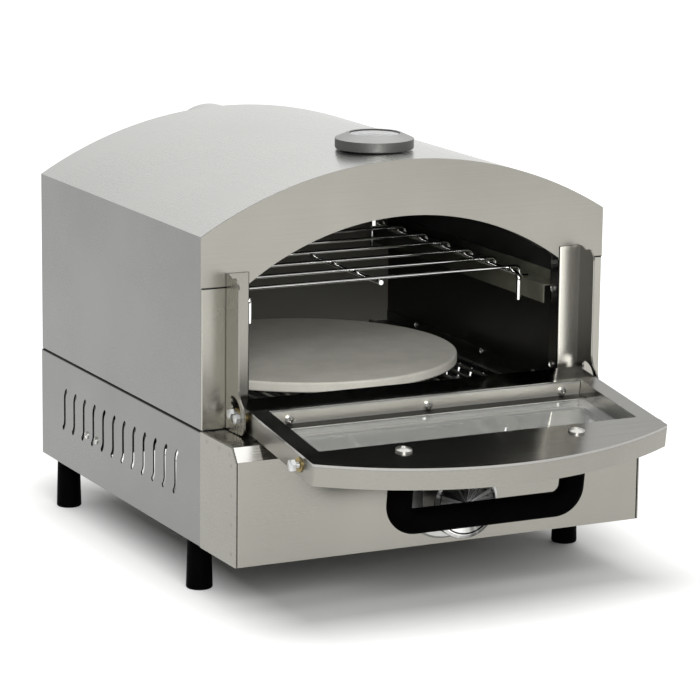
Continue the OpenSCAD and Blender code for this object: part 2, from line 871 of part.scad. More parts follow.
module gas_valve() {
    bore_d = 10.1;
    color("goldenrod") place() difference() {
        union() {
            rod_y([0, panel_back_y + 2, knob_z], 32, 24);
            rod_y([0, panel_back_y + 34, knob_z], 9, 14);
            rod_y([0, panel_back_y + 43, knob_z], 8, 6);
            // Ears screwed to the panel, and the inlet boss
            translate([-23, panel_back_y, knob_z - 6]) cube([46, 3, 12]);
            rod_z([0, supply_y, supply_z - 7], knob_z - supply_z, 14);
        }
        rod_y([0, panel_back_y - past, knob_z], 27 + past, bore_d);
        rod_y([0, panel_back_y + 40, knob_z], 12, 1.5);
        for (x = [-17, 17]) rod_y([x, panel_back_y - past, knob_z], 6, 3.6);
        rod_x([0, supply_y, supply_z], 20, supply_d + 0.2);
    }
}

module gas_supply_pipe() {
    bend = 15;
    color("darkgoldenrod") place() {
        rod_x([1, supply_y, supply_z], supply_x - bend - 1, supply_d);
        translate([supply_x - bend, supply_y + bend, supply_z]) rotate([0, 0, -90]) quarter_bend(bend, supply_d);
        rod_y([supply_x, supply_y + bend, supply_z], hood_d - 24 - supply_y - bend, supply_d);
    }
}

module gas_inlet() {
    start = hood_d - 24;
    color("goldenrod") place() translate([supply_x, 0, supply_z]) rotate([-90, 0, 0]) difference() {
        union() {
            up(start) hexagon(16, hood_d - sheet_t - start);
            up(start) cylinder(h = hood_d + 6 - start, d = 12);
            up(hood_d) hexagon(17, 5);
            up(hood_d + 5) cylinder(h = 2, d = inlet_d - 1.5);
            up(hood_d + 7) cylinder(h = inlet_len, d = inlet_d);
            up(hood_d + 7 + inlet_len) cylinder(h = 3, d1 = inlet_d - 1, d2 = 9);
        }
        up(start + 6) cylinder(h = 60, d = 6);
    }
}

// ---- Cavity ----

module hearth_plate() {
    plate_half_w = half_w - 14;
    color("#222222") place() {
        difference() {
            translate([-plate_half_w, sheet_t + seam, seam_z]) {
                cube([2 * plate_half_w, hood_d - 2 * sheet_t - 2 * seam - 13, sheet_t]);
            }
            translate([-hearth_hole_half_w, hearth_hole_front, seam_z - past]) linear_extrude(3 * past) {
                round_rect(2 * hearth_hole_half_w, hearth_hole_back - hearth_hole_front, 4);
            }
        }
        // Lips turned up inside the cavity's walls
        both_sides() difference() {
            translate([hearth_lip_x - sheet_t, liner_front_y + 1, seam_z]) {
                cube([sheet_t, liner_back_y - liner_front_y - 4, hearth_lip_h]);
            }
            for (y = hearth_screw_y) {
                rod_x([hearth_lip_x - sheet_t - past, y, hearth_screw_z], sheet_t + 2 * past, 3.2);
            }
        }
    }
}

module cavity_liner() {
    probe_hole_d = 12;
    color("#2a2a28") place() difference() {
        union() {
            difference() {
                plate_y(liner_front_y, liner_back_y - liner_front_y) {
                    arch(cavity_half_w, hearth_z, cavity_r, cavity_centre_z);
                }
                plate_y(liner_front_y - past, liner_back_y - liner_front_y - liner_t + past) {
                    arch(liner_inner_w, hearth_z - past, cavity_r - liner_t, cavity_centre_z);
                }
            }
            both_sides() translate([cavity_half_w - liner_t, liner_front_y, hearth_z]) {
                cube([liner_foot_w, liner_back_y - liner_front_y, liner_t]);
            }
        }
        rod_z([0, gauge_y, cavity_eave_z], 2 * cavity_rise, probe_hole_d);
        for (y = hearth_screw_y) rod_x([-half_w, y, hearth_screw_z], body_w, 3.2);
        plate_y(liner_back_y - 2 * liner_t, 4 * liner_t) flue_hole(0);
    }
}

module cavity_front_frame() {
    jamb_h = fascia_h + 5;
    low = hearth_z + seam;
    color("#333331") place() {
        plate_y(frame_y, sheet_t) difference() {
            arch(cavity_half_w + 6, low, cavity_r + 6, cavity_centre_z);
            opening_arch(ear_t, low - past);
        }
        both_sides() difference() {
            translate([jamb_x, sheet_t + seam, low]) cube([sheet_t, frame_y - sheet_t - seam, jamb_h]);
            for (z = bracket_screw_z) {
                rod_x([jamb_x - past, bracket_screw_y, z], sheet_t + 2 * past, 3.6);
            }
        }
    }
}

// A ledge that carries the rack, on the right
module rack_ledge() {
    front = liner_front_y + 2;
    len = liner_back_y - liner_t - front;
    translate([ledge_inner_x, front, ledge_z - sheet_t]) cube([ledge_w, len, sheet_t]);
    translate([ledge_inner_x, front, ledge_z - ledge_lip_h]) cube([sheet_t, len, ledge_lip_h]);
    translate([liner_inner_w - sheet_t, front, ledge_z - sheet_t]) cube([sheet_t, len, 10]);
}

module rack_ledge_left() {
    color("dimgray") place() mirror([1, 0, 0]) rack_ledge();
}

module rack_ledge_right() {
    color("dimgray") place() rack_ledge();
}

// ---- Hood ----

// The exhaust opening, made larger by a margin
module flue_hole(margin) {
    translate([-flue_half_w - margin, flue_low_z - margin]) {
        round_rect(2 * (flue_half_w + margin), flue_high_z - flue_low_z + 2 * margin, 6 + margin);
    }
}

module hood_shell() {
    strip_w = half_w - open_half_w - ear_t - 4;
    front_cut = sheet_t + seam;
    color("lightgray") place() {
        difference() {
            plate_y(0, hood_d) difference() {
                hood_arch(0, seam_z);
                hood_arch(sheet_t, seam_z - past);
                for (side = [0, 1]) mirror([side, 0]) translate([half_w, seam_z]) {
                    mirror([0, 1]) corner_waste(fold_r);
                }
            }
            both_sides() translate([half_w, 0, seam_z - past]) linear_extrude(fascia_h + past) {
                mirror([0, 1]) corner_waste(fold_r);
            }
            // The front panel caps the shell above its lower edge
            translate([-half_w - past, -past, fascia_z - seam]) {
                cube([body_w + 2 * past, front_cut + past, 2 * wall_h]);
            }
            rod_z([0, gauge_y, crown_z - 3 * sheet_t], 6 * sheet_t, 14.4);
        }
        both_sides() {
            // Strips folded in beside the opening, and flanges that stand on the base
            translate([half_w - strip_w, 0, seam_z]) cube([strip_w - sheet_t, sheet_t, fascia_h - seam]);
            translate([half_w - 13, sheet_t, seam_z]) cube([13 - sheet_t, hood_d - 2 * sheet_t - seam, sheet_t]);
        }
    }
}

module front_fascia() {
    fold_d = 11;
    color("#bfbcb0") place() {
        plate_y(0, sheet_t) difference() {
            hood_arch(0, fascia_z);
            opening_arch(0, seam_z);
        }
        // Rim folded back inside the roof
        plate_y(sheet_t, fold_d) difference() {
            hood_arch(sheet_t + seam, fascia_z + 12);
            hood_arch(2 * sheet_t + seam, fascia_z - past);
        }
        // Lip folded back round the opening
        plate_y(sheet_t, open_lip_d) intersection() {
            difference() {
                opening_arch(sheet_t, seam_z);
                opening_arch(0, seam_z - past);
            }
            translate([-half_w, fascia_z + 10]) square([body_w, wall_h]);
        }
    }
}

module rear_panel() {
    fit = sheet_t + seam;
    color("lightgray") place() difference() {
        union() {
            plate_y(hood_d - sheet_t, sheet_t) hood_arch(fit, seam_z + sheet_t);
            plate_y(hood_d - 12, 12) difference() {
                hood_arch(fit, seam_z + sheet_t + 2);
                hood_arch(fit + sheet_t, seam_z);
            }
        }
        plate_y(hood_d - 2 * sheet_t, 4 * sheet_t) flue_hole(0);
        for (p = flue_screw_at) rod_y([p[0], hood_d - 3 * sheet_t, p[1]], 6 * sheet_t, 3.6);
    }
}

module flue_duct() {
    color("gray") place() {
        plate_y(liner_back_y, liner_back_gap) difference() {
            flue_hole(4);
            flue_hole(3);
        }
        plate_y(liner_back_y, sheet_t) difference() {
            flue_hole(9);
            flue_hole(3.5);
        }
    }
}

// Outline of the cowl in X and Z from a height up, made smaller by an inset
module cowl_outline(inset, low) {
    hw = cowl_half_w - inset;
    translate([-hw, low]) square([2 * hw, cowl_centre_z - low]);
    translate([0, cowl_centre_z]) intersection() {
        circle(hw);
        translate([-hw - past, 0]) square([2 * (hw + past), hw + past]);
    }
}

module flue_cowl() {
    flange_w = 10;
    color("silver") place() difference() {
        union() {
            plate_y(hood_d, cowl_d) cowl_outline(0, cowl_low_z);
            plate_y(hood_d, sheet_t) {
                translate([-cowl_half_w - flange_w, cowl_low_z]) {
                    round_rect(2 * (cowl_half_w + flange_w), cowl_centre_z - cowl_low_z, 4);
                }
            }
        }
        // Inside, open at the mouth that faces down
        plate_y(hood_d - past, cowl_d - sheet_t + past) cowl_outline(sheet_t, cowl_low_z - past);
        for (p = flue_screw_at) rod_y([p[0], hood_d - past, p[1]], 4, 3.6);
    }
}

module flue_screws() {
    color("silver") place() {
        for (p = flue_screw_at) {
            translate([p[0], hood_d + sheet_t, p[1]]) rotate([-90, 0, 0]) pan_screw(7, 2, 8, 3.2);
        }
    }
}

// ---- Hinge brackets ----

// The slot that the guide pin runs in, drawn in Y and Z about the pivot
module guide_slot() {
    over = 4;
    mirror([1, 0]) {
        round_band(guide_r, pin_slot_w, -door_tilt - over, 90 + over);
        translate([0, -pin_lift]) round_band(guide_r, pin_slot_w, 60, 90 + over);
    }
}

// The ear's outline in Y and Z
module ear_outline() {
    swell = ear_low_reach - ear_reach;
    low_z = pivot_z - 1;
    swell_h = 25;
    swell_r = (swell * swell + swell_h * swell_h) / (4 * swell);
    corner_r = 8;
    nose_r = 9;
    nose_z = bracket_top_z - 1.3 - nose_r;
    // Straight web
    translate([-ear_reach, bracket_z]) square([ear_reach, nose_z - bracket_z]);
    // Block round the pins with a rounded lower corner
    difference() {
        translate([-ear_low_reach, bracket_z]) square([ear_low_reach, low_z - bracket_z]);
        translate([-ear_low_reach, bracket_z]) mirror([1, 0]) mirror([0, 1]) corner_waste(corner_r);
    }
    translate([swell_r - ear_low_reach, low_z]) circle(swell_r);
    difference() {
        polygon([
            [0, low_z],
            [swell_r - ear_low_reach, low_z],
            [-(ear_reach + ear_low_reach) / 2, low_z + swell_h / 2],
            [-ear_reach, low_z + swell_h],
            [0, low_z + swell_h]
        ]);
        translate([-ear_reach - swell_r, low_z + swell_h]) circle(swell_r);
    }
    // Nose and notch that hold the closed door's catch bolt
    translate([nose_r - ear_reach, nose_z]) circle(nose_r);
    polygon([
        [0, nose_z],
        [nose_r - ear_reach, nose_z],
        [nose_r - ear_reach, nose_z + nose_r],
        [-13, bracket_top_z - 3.5],
        [-4, bracket_top_z],
        [0, bracket_top_z]
    ]);
}

// A hinge bracket, on the right
module hinge_bracket() {
    bend_r = 2;
    leg_h = bracket_top_z - bracket_z;
    difference() {
        union() {
            plate_x(ear_inner_x, ear_t) ear_outline();
            translate([open_half_w, -ear_t, bracket_z]) cube([ear_x - open_half_w, ear_t, leg_h]);
            translate([open_half_w, -ear_t, hearth_z + seam]) {
                cube([ear_t, bracket_d + ear_t, fascia_z - hearth_z - 2 * seam]);
            }
        }
        translate([ear_x, 0, bracket_z - past]) linear_extrude(leg_h + 2 * past) corner_waste(bend_r);
        translate([open_half_w, -ear_t, bracket_z - past]) linear_extrude(leg_h + 2 * past) {
            mirror([1, 0]) mirror([0, 1]) corner_waste(bend_r);
        }
        plate_x(ear_inner_x - past, ear_t + 2 * past) translate([pivot_y, pivot_z]) {
            guide_slot();
            circle(d = pin_slot_w);
            translate([-pin_slot_w / 2, -pin_lift]) square([pin_slot_w, pin_lift]);
            translate([0, -pin_lift]) circle(d = pin_slot_w);
        }
        for (z = bracket_screw_z) rod_x([open_half_w - past, bracket_screw_y, z], ear_t + 2 * past, 4.4);
    }
}

module hinge_bracket_left() {
    color("#b5b2a8") place() mirror([1, 0, 0]) hinge_bracket();
}

module hinge_bracket_right() {
    color("#b5b2a8") place() hinge_bracket();
}

module cavity_screws() {
    color("silver") place() both_sides() {
        for (z = bracket_screw_z) {
            translate([open_half_w, bracket_screw_y, z]) rotate([0, -90, 0]) pan_screw(7, 2.2, 5, 3.4);
        }
        for (y = hearth_screw_y) {
            translate([hearth_lip_x - sheet_t, y, hearth_screw_z]) rotate([0, -90, 0]) pan_screw(5, 1.6, 5, 3);
        }
    }
}

// ---- Knob and valve ----

// Puts a part on the knob's axis, with its Z towards the user
module on_knob_axis() {
    place() translate([0, panel_y, knob_z]) rotate([90, 0, 0]) children();
}

module knob_bezel() {
    color("whitesmoke") on_knob_axis() rotate_extrude() {
        polygon([
            [13.4, 0],
            [bezel_d / 2, 0],
            [bezel_d / 2, bezel_t - 2],
            [bezel_d / 2 - 2, bezel_t],
            [bezel_d / 2 - 7, bezel_t],
            [bezel_d / 2 - 8, bezel_t - 1],
            [13.4, bezel_t - 1]
        ]);
    }
}

module control_knob() {
    back = bezel_t + knob_travel + 1.5;
    rim_r = knob_d / 2;
    color("#151515") on_knob_axis() difference() {
        rotate_extrude() difference() {
            union() {
                translate([0, back]) square([rim_r - 6, knob_reach - back - face_t]);
                translate([0, back + 6]) square([rim_r - 3, knob_reach - back - 6 - face_t]);
                translate([0, back + 13]) square([rim_r, knob_reach - back - 13 - face_t]);
            }
            translate([-past, back - past]) square([rim_r - 12 + past, 10 + past]);
        }
        up(back) cylinder(h = knob_reach - back - 8, d = stem_d + 0.1);
    }
    // Hub round the stem
    color("#151515") on_knob_axis() difference() {
        up(back + 1) cylinder(h = 10, r = 8);
        up(back) cylinder(h = 20, d = stem_d + 0.1);
    }
}

module knob_face() {
    rim_r = knob_d / 2 - 0.4;
    low = knob_reach - face_t;
    color("gainsboro") on_knob_axis() difference() {
        // A disc with a wide bevel and a ring groove inside it
        rotate_extrude() polygon([
            [0, low],
            [rim_r, low],
            [rim_r, knob_reach - 1.6],
            [rim_r - 2.8, knob_reach],
            [rim_r - 3.6, knob_reach],
            [rim_r - 4.3, knob_reach - 0.9],
            [rim_r - 5, knob_reach - 0.3],
            [0, knob_reach - 0.3]
        ]);
        // Pointer groove
        translate([-1, 6, knob_reach - 0.8]) cube([2, rim_r - 13, 2]);
    }
}

module valve_stem() {
    len = 51;
    color("silver") on_knob_axis() up(knob_reach - 8.2 - len) cylinder(h = len, d = stem_d);
}

module valve_plug() {
    plug_len = 25;
    color("goldenrod") on_knob_axis() difference() {
        up(-sheet_t - plug_len - 0.5) cylinder(h = plug_len, d = 10);
        up(-sheet_t - plug_len + 2) cylinder(h = plug_len, d = stem_d + 0.1);
    }
}

// ---- Thermometer ----

// Puts a part on the thermometer's axis
module on_gauge() {
    place() translate([0, gauge_y, 0]) children();
}

module thermometer_bezel() {
    outer_r = gauge_d / 2;
    color("gainsboro") on_gauge() rotate_extrude() {
        polygon([
            [outer_r - 1.2, gauge_low_z],
            [outer_r - 0.4, gauge_low_z],
            [outer_r, gauge_low_z + 0.8],
            [outer_r, gauge_rim_z],
            [gauge_face_r, gauge_top_z],
            [gauge_window_r, gauge_top_z - 0.4],
            [gauge_window_r, gauge_top_z - 2.9],
            [gauge_window_r + 1, gauge_top_z - 2.9],
            [gauge_face_r, gauge_top_z - 1.6],
            [outer_r - 1.2, gauge_rim_z - 1.2]
        ]);
    }
}

module thermometer_case() {
    outer_r = gauge_d / 2 - 1.3;
    collar_r = 24;
    color("silver") on_gauge() difference() {
        union() {
            up(gauge_low_z + 0.2) cylinder(h = gauge_wall_h - 2, r = outer_r);
            up(crown_z - 3) cylinder(h = gauge_gap + 4, r = collar_r);
        }
        up(gauge_low_z + 1.4) cylinder(h = 20, r = outer_r - 1);
        // Saddle that follows the roof
        translate([0, -collar_r - past, roof_centre_z]) rotate([-90, 0, 0]) {
            cylinder(h = 2 * collar_r + 2 * past, r = roof_r + 0.1, $fn = 360);
        }
        up(crown_z - 10) cylinder(h = 30, d = 14.2);
    }
}

module thermometer_dial() {
    color("white") on_gauge() difference() {
        union() {
            up(dial_z) cylinder(h = 0.8, r = gauge_d / 2 - 4);
            up(gauge_low_z + 1.4) {
                cylinder(h = dial_z - gauge_low_z - 1.4, r = 15);
            }
        }
        up(gauge_low_z - past) cylinder(h = 20, d = 3.2);
        up(gauge_low_z - past) cylinder(h = dial_z - gauge_low_z - 0.2, d = 14.4);
    }
}

module thermometer_lens() {
    color("lightblue") on_gauge() {
        up(lens_z) cylinder(h = 2, r = gauge_window_r + 3);
    }
}

module thermometer_probe() {
    color("silver") on_gauge() {
        up(crown_z - 20) cylinder(h = dial_z - crown_z + 18.6, d = 14);
        up(crown_z - probe_len) cylinder(h = probe_len - 15, d = 6);
        up(crown_z - 3) cylinder(h = dial_z - crown_z + 6, d = 3);
    }
}

module thermometer_nut() {
    nut_z = crown_z - sheet_t - 6.4;
    color("silver") on_gauge() difference() {
        up(nut_z) hexagon(22, 6);
        up(nut_z - past) cylinder(h = 10, d = 14.2);
    }
}

module thermometer_needle() {
    needle_z = dial_z + 1.4;
    needle_r = gauge_window_r - 4;
    color("black") on_gauge() difference() {
        rotate(225) union() {
            up(needle_z) cylinder(h = 1, r = 3.4);
            up(needle_z) linear_extrude(0.5) {
                polygon([[-8, -1], [0, -1.4], [needle_r, -0.3], [needle_r, 0.3], [0, 1.4], [-8, 1]]);
            }
        }
        up(needle_z - past) cylinder(h = 4, d = 3.1);
    }
}

// ---- Door ----

// Puts a part on the open door: -Y runs out from the pivot line and +Z is the door's inner face
module on_door() {
    place() translate([0, pivot_y, pivot_z]) rotate([door_tilt, 0, 0]) children();
}

// The door's outline, made smaller all round by an inset
module door_outline(inset) {
    tail_r = 2.2 - inset;
    side_x = door_half_w - inset;
    centre_x = door_half_w - door_corner_r;
    mirror([0, 1]) {
        translate([-side_x, inset - door_tail + tail_r]) {
            square([2 * side_x, corner_at + door_tail - tail_r - inset]);
        }
        translate([-side_x + tail_r, inset - door_tail]) square([2 * (side_x - tail_r), 2 * tail_r]);
        for (side = [-1, 1]) {
            translate([side * (side_x - tail_r), inset - door_tail + tail_r]) circle(tail_r);
            translate([side * centre_x, corner_at]) circle(door_corner_r - inset);
        }
        translate([0, door_arc_at]) intersection() {
            circle(door_r - inset);
            polygon([
                [-centre_x, corner_at - door_arc_at],
                [centre_x, corner_at - door_arc_at],
                2 * [centre_x, corner_at - door_arc_at],
                2 * [-centre_x, corner_at - door_arc_at]
            ]);
        }
    }
}

// A rectangle on the door between two distances from the pivot line
module door_rect(hw, from, to, r) {
    translate([-hw, -to]) round_rect(2 * hw, to - from, r);
}

module door_outer_shell() {
    flange_top = half_door_t - door_rim_h - seam;
    border = window_border;
    color("#b9b6ac") on_door() difference() {
        up(-half_door_t) linear_extrude(half_door_t + flange_top) door_outline(0);
        up(door_sheet - half_door_t) linear_extrude(door_t) door_outline(door_sheet);
        up(-half_door_t - past) linear_extrude(door_t) {
            door_rect(window_half_w - border, window_start + border + 10, window_end - border, 6);
        }
        for (side = [-1, 1]) {
            translate([side * handle_w / 2, -handle_at, -half_door_t - past]) cylinder(h = 4, d = 6.4);
        }
        door_side_holes();
    }
}

// Holes for the pins and the catch bolts through the door's side flanges
module door_side_holes() {
    for (at = [[0, pin_d], [guide_r, guide_d], [catch_at, 5.4]]) {
        rod_x([-door_half_w - past, -at[0], 0], 2 * (door_half_w + past), at[1] + 0.2);
    }
}

module door_inner_panel() {
    wall_low = glass_top + seam;
    color("#8e8b82") on_door() difference() {
        union() {
            difference() {
                up(half_door_t - door_rim_h) linear_extrude(door_rim_h) door_outline(0);
                up(half_door_t - door_rim_h - past) {
                    linear_extrude(door_rim_h - door_sheet + past) door_outline(door_sheet);
                }
            }
            up(wall_low) linear_extrude(half_door_t - wall_low) {
                door_rect(window_half_w + door_sheet, window_start - door_sheet, window_end + door_sheet, 1);
            }
        }
        up(-door_t) linear_extrude(2 * door_t) {
            door_rect(window_half_w, window_start, window_end, 0.5);
        }
        for (side = [-1, 1]) {
            translate([side * handle_w / 2, -handle_at, 0]) cylinder(h = door_t, d = 6.4);
        }
        for (x = strip_screws) rod_y([x, -window_start - past, strip_screw_z], 3, 3.2);
    }
}

module door_glass() {
    color([0.7, 0.8, 0.78, 0.35]) on_door() {
        up(glass_low) linear_extrude(glass_t) {
            door_rect(window_half_w + 5, window_start - 4, window_end + 5, 2);
        }
    }
}

module glass_gasket() {
    color("#d8d4c4") on_door() {
        up(door_sheet - half_door_t) linear_extrude(gasket_t) difference() {
            door_rect(window_half_w + 5, window_start - 4, window_end + 5, 2);
            door_rect(window_half_w - window_border + 1, window_start + window_border + 9,
                window_end - window_border + 1, 5);
        }
    }
}

module glass_retainer() {
    strip_x = window_half_w - 0.5;
    start = window_start + seam;
    flange_z = glass_top + seam;
    color("#a9a69b") on_door() difference() {
        union() {
            translate([-strip_x, -start - strip_t, flange_z]) cube([2 * strip_x, strip_t, strip_top - flange_z]);
            up(flange_z) linear_extrude(strip_t) {
                translate([-strip_x, -start - strip_flange]) square([2 * strip_x, strip_flange - 2]);
                translate([-strip_x, -start - strip_flange]) round_rect(2 * strip_x, strip_flange, 4);
            }
        }
        for (x = strip_screws) rod_y([x, -start - strip_t - past, strip_screw_z], strip_t + 2 * past, 3.4);
    }
}

module retainer_screws() {
    color("silver") on_door() {
        for (x = strip_screws) {
            translate([x, -window_start - seam - strip_t, strip_screw_z]) rotate([90, 0, 0]) {
                pan_screw(strip_head_d, 2.4, 5, 3);
            }
        }
    }
}

module door_handle() {
    leg = handle_off - handle_bend_r;
    color("#111111") on_door() translate([0, -handle_at, -half_door_t]) {
        rod_x([handle_bend_r - handle_w / 2, 0, -handle_off], handle_w - 2 * handle_bend_r, handle_d);
        both_sides() {
            difference() {
                rod_z([handle_w / 2, 0, -leg], leg, handle_d);
                rod_z([handle_w / 2, 0, -handle_thread - 0.5], handle_thread + 0.5 + past, 5.1);
            }
            translate([handle_w / 2 - handle_bend_r, 0, -leg]) rotate([-90, 0, 0]) {
                quarter_bend(handle_bend_r, handle_d);
            }
        }
    }
}

module handle_screws() {
    inside = door_t - 2 * door_sheet;
    color("silver") on_door() both_sides() translate([handle_w / 2, -handle_at, half_door_t]) {
        cylinder(h = handle_washer_t, d = 20);
        up(handle_washer_t) pan_screw(12, 3.4, door_t + handle_washer_t + handle_thread, 5);
        // Sleeve that keeps the door's sheets apart
        up(-door_sheet - inside) cylinder(h = inside, d = 10);
    }
}

// A bolt on the door's right, with its head outside the ear and its nut inside
module hinge_bolt(at, d) {
    shank_from = door_half_w - door_sheet - nut_t - 1;
    shank_to = ear_x + spacer_gap;
    translate([0, -at, 0]) rotate([0, 90, 0]) {
        up(shank_from) cylinder(h = shank_to - shank_from + 1, d = d);
        up(shank_to) hexagon(bolt_head_flats, bolt_head_t);
        up(door_half_w - door_sheet - nut_t) hexagon(bolt_head_flats, nut_t);
    }
}

module pivot_bolts() {
    color("silver") on_door() both_sides() hinge_bolt(0, pin_d);
}

module guide_bolts() {
    color("silver") on_door() both_sides() hinge_bolt(guide_r, guide_d);
}

module hinge_washers() {
    spacer = ear_inner_x - door_half_w - spacer_gap;
    color("goldenrod") on_door() both_sides() {
        for (at = [[0, pin_d], [guide_r, guide_d]]) {
            translate([0, -at[0], 0]) rotate([0, 90, 0]) difference() {
                up(door_half_w) cylinder(h = spacer, d = 10);
                up(door_half_w - past) cylinder(h = 40, d = at[1] + 0.1);
            }
        }
    }
}

module catch_bolts() {
    shank_from = door_half_w - door_sheet - nut_t - 1;
    head_at = ear_x + 0.5;
    color("silver") on_door() both_sides() translate([0, -catch_at, 0]) rotate([0, 90, 0]) {
        up(door_half_w - door_sheet - nut_t) hexagon(bolt_head_flats, nut_t);
        up(shank_from) cylinder(h = head_at - shank_from + 1, d = 5);
        up(door_half_w) cylinder(h = 1.2, d = 13);
        up(head_at) hexagon(catch_head_flats, catch_head_t);
    }
}

// ---- Rack, grate and stone ----

module warming_rack() {
    s_bend_r = rack_drop / 2;
    color("whitesmoke") place() {
        for (i = [0 : rack_n - 1]) {
            y = rack_front + i * rack_pitch;
            rod_x([-rack_half_w, y, rack_z], 2 * rack_half_w, rack_wire_d);
            both_sides() {
                translate([rack_half_w, y, rack_z - s_bend_r]) rotate([90, 0, 0]) {
                    quarter_bend(s_bend_r, rack_wire_d);
                }
                translate([rack_half_w + 2 * s_bend_r, y, rack_end_z + s_bend_r]) rotate([90, 180, 0]) {
                    quarter_bend(s_bend_r, rack_wire_d);
                }
                rod_x([rack_half_w + 2 * s_bend_r, y, rack_end_z], rack_tail, rack_wire_d);
            }
        }
        rack_middle_rod();
        both_sides() rack_side_rod();
    }
}

module rack_middle_rod() {
    rod_y([0, rack_front - 4, rack_rod_z], rack_back - rack_front + 8, rack_rod_d);
}

// A side rod with legs bent down at both ends
module rack_side_rod() {
    front = rack_leg_front_y + rod_bend_r;
    back = rack_leg_back_y - rod_bend_r;
    leg = rack_leg_h - rod_bend_r;
    rod_y([rack_rod_x, front, rack_rod_z], back - front, rack_rod_d);
    for (y = [rack_leg_front_y, rack_leg_back_y]) {
        rod_z([rack_rod_x, y, rack_rod_z - rack_leg_h], leg, rack_rod_d);
    }
    translate([rack_rod_x, back, rack_rod_z - rod_bend_r]) rotate([90, 0, 90]) {
        quarter_bend(rod_bend_r, rack_rod_d);
    }
    translate([rack_rod_x, front, rack_rod_z - rod_bend_r]) rotate([90, 0, -90]) {
        quarter_bend(rod_bend_r, rack_rod_d);
    }
}

module stone_grate() {
    row_w = (grate_n - 1) * grate_pitch;
    cross_z = grate_wire_z - grate_wire_d - weld;
    color("dimgray") place() {
        for (i = [0 : grate_n - 1]) {
            rod_y([i * grate_pitch - row_w / 2, grate_front, grate_wire_z], grate_back - grate_front, grate_wire_d);
        }
        for (y = [hearth_hole_front + 6, (grate_front + grate_back) / 2, hearth_hole_back - 6]) {
            rod_x([-row_w / 2 - 2, y, cross_z], row_w + 4, grate_wire_d);
        }
    }
}

module pizza_stone() {
    r = stone_r;
    color("#c9c6ba") place() translate([0, stone_y, stone_low_z]) rotate_extrude() {
        square([r - stone_round, stone_t]);
        translate([0, stone_round]) square([r, stone_t - 2 * stone_round]);
        for (z = [stone_round, stone_t - stone_round]) translate([r - stone_round, z]) circle(stone_round);
    }
}

// ---- Nodes ----

base_shell();
base_rear_panel();
control_panel();
control_side_left();
control_side_right();
heat_shield();
burner_tube();
burner_brackets();
venturi_tube();
igniter_electrode();
gas_valve();
gas_supply_pipe();
gas_inlet();
foot_front_left();
foot_front_right();
foot_back_left();
foot_back_right();
foot_bolts();
hearth_plate();
cavity_liner();
cavity_front_frame();
rack_ledge_left();
rack_ledge_right();
hood_shell();
front_fascia();
rear_panel();
flue_duct();
flue_cowl();
flue_screws();
hinge_bracket_left();
hinge_bracket_right();
cavity_screws();
side_screws();
knob_bezel();
thermometer_case();
thermometer_bezel();
thermometer_dial();
thermometer_lens();
thermometer_probe();
thermometer_nut();
thermometer_needle();
valve_plug();
control_knob();
knob_face();
valve_stem();
door_outer_shell();
door_inner_panel();
door_glass();
glass_gasket();
glass_retainer();
retainer_screws();
door_handle();
handle_screws();
pivot_bolts();
guide_bolts();
hinge_washers();
catch_bolts();
warming_rack();
stone_grate();
pizza_stone();
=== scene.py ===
"""Countertop pizza oven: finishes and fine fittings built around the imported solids.

Run as a script, it registers its operators and calls them in order. All lengths are metres.
"""

import json
import math

import bmesh
import bpy
import numpy as np
from bpy.props import FloatProperty, FloatVectorProperty, IntProperty, PointerProperty
from mathutils import Matrix, Vector


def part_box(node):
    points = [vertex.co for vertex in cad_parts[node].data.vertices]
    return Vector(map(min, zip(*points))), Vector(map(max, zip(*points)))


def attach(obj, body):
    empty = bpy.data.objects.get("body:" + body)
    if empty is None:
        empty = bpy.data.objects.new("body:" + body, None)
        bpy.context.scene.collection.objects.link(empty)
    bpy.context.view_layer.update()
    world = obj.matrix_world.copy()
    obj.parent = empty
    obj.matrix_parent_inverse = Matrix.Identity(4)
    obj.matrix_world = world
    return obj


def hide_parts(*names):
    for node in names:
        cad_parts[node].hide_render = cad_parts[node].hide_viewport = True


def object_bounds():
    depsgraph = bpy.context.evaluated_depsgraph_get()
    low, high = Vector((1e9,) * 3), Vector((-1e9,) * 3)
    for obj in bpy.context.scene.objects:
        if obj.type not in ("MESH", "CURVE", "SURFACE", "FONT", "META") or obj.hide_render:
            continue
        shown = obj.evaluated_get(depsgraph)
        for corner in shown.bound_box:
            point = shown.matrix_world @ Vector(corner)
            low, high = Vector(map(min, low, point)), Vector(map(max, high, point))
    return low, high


bl_info = {
    "name": "Countertop Pizza Oven",
    "version": (1, 0, 0),
    "blender": (4, 5, 0),
    "location": "View3D > Sidebar > Pizza Oven",
    "description": "Finishes, dial and small fittings of a gas pizza oven",
    "category": "Object",
}

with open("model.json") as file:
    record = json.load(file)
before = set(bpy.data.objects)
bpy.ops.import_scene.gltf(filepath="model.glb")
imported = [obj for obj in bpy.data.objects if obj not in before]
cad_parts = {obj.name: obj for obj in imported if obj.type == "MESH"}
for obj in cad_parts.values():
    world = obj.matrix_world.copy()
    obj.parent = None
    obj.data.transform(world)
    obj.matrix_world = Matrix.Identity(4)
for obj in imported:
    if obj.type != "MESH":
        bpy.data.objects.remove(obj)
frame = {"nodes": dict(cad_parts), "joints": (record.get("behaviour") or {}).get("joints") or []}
NODES = frame["nodes"]
CAD_BOUNDS = [list(corner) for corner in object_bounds()]

TURN = 2.0 * math.pi
MM = 0.001
# Thickness of the hinge brackets' ears
EAR = 1.5 * MM
# Stretch of the brushed grain: it is fine along the large axes and runs along the small one
ALONG_Y, ACROSS_FRONT = (1500.0, 12.0, 1500.0), (12.0, 12.0, 900.0)
# Near-black colour of painted shade, in the lines of seams and corners and on faces that look down
SEAM_SHADE = (0.02, 0.02, 0.02)


# ---- Places read from the solids ----


def middle(node):
    """The centre of a node's box."""
    low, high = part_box(node)
    return (low + high) / 2.0


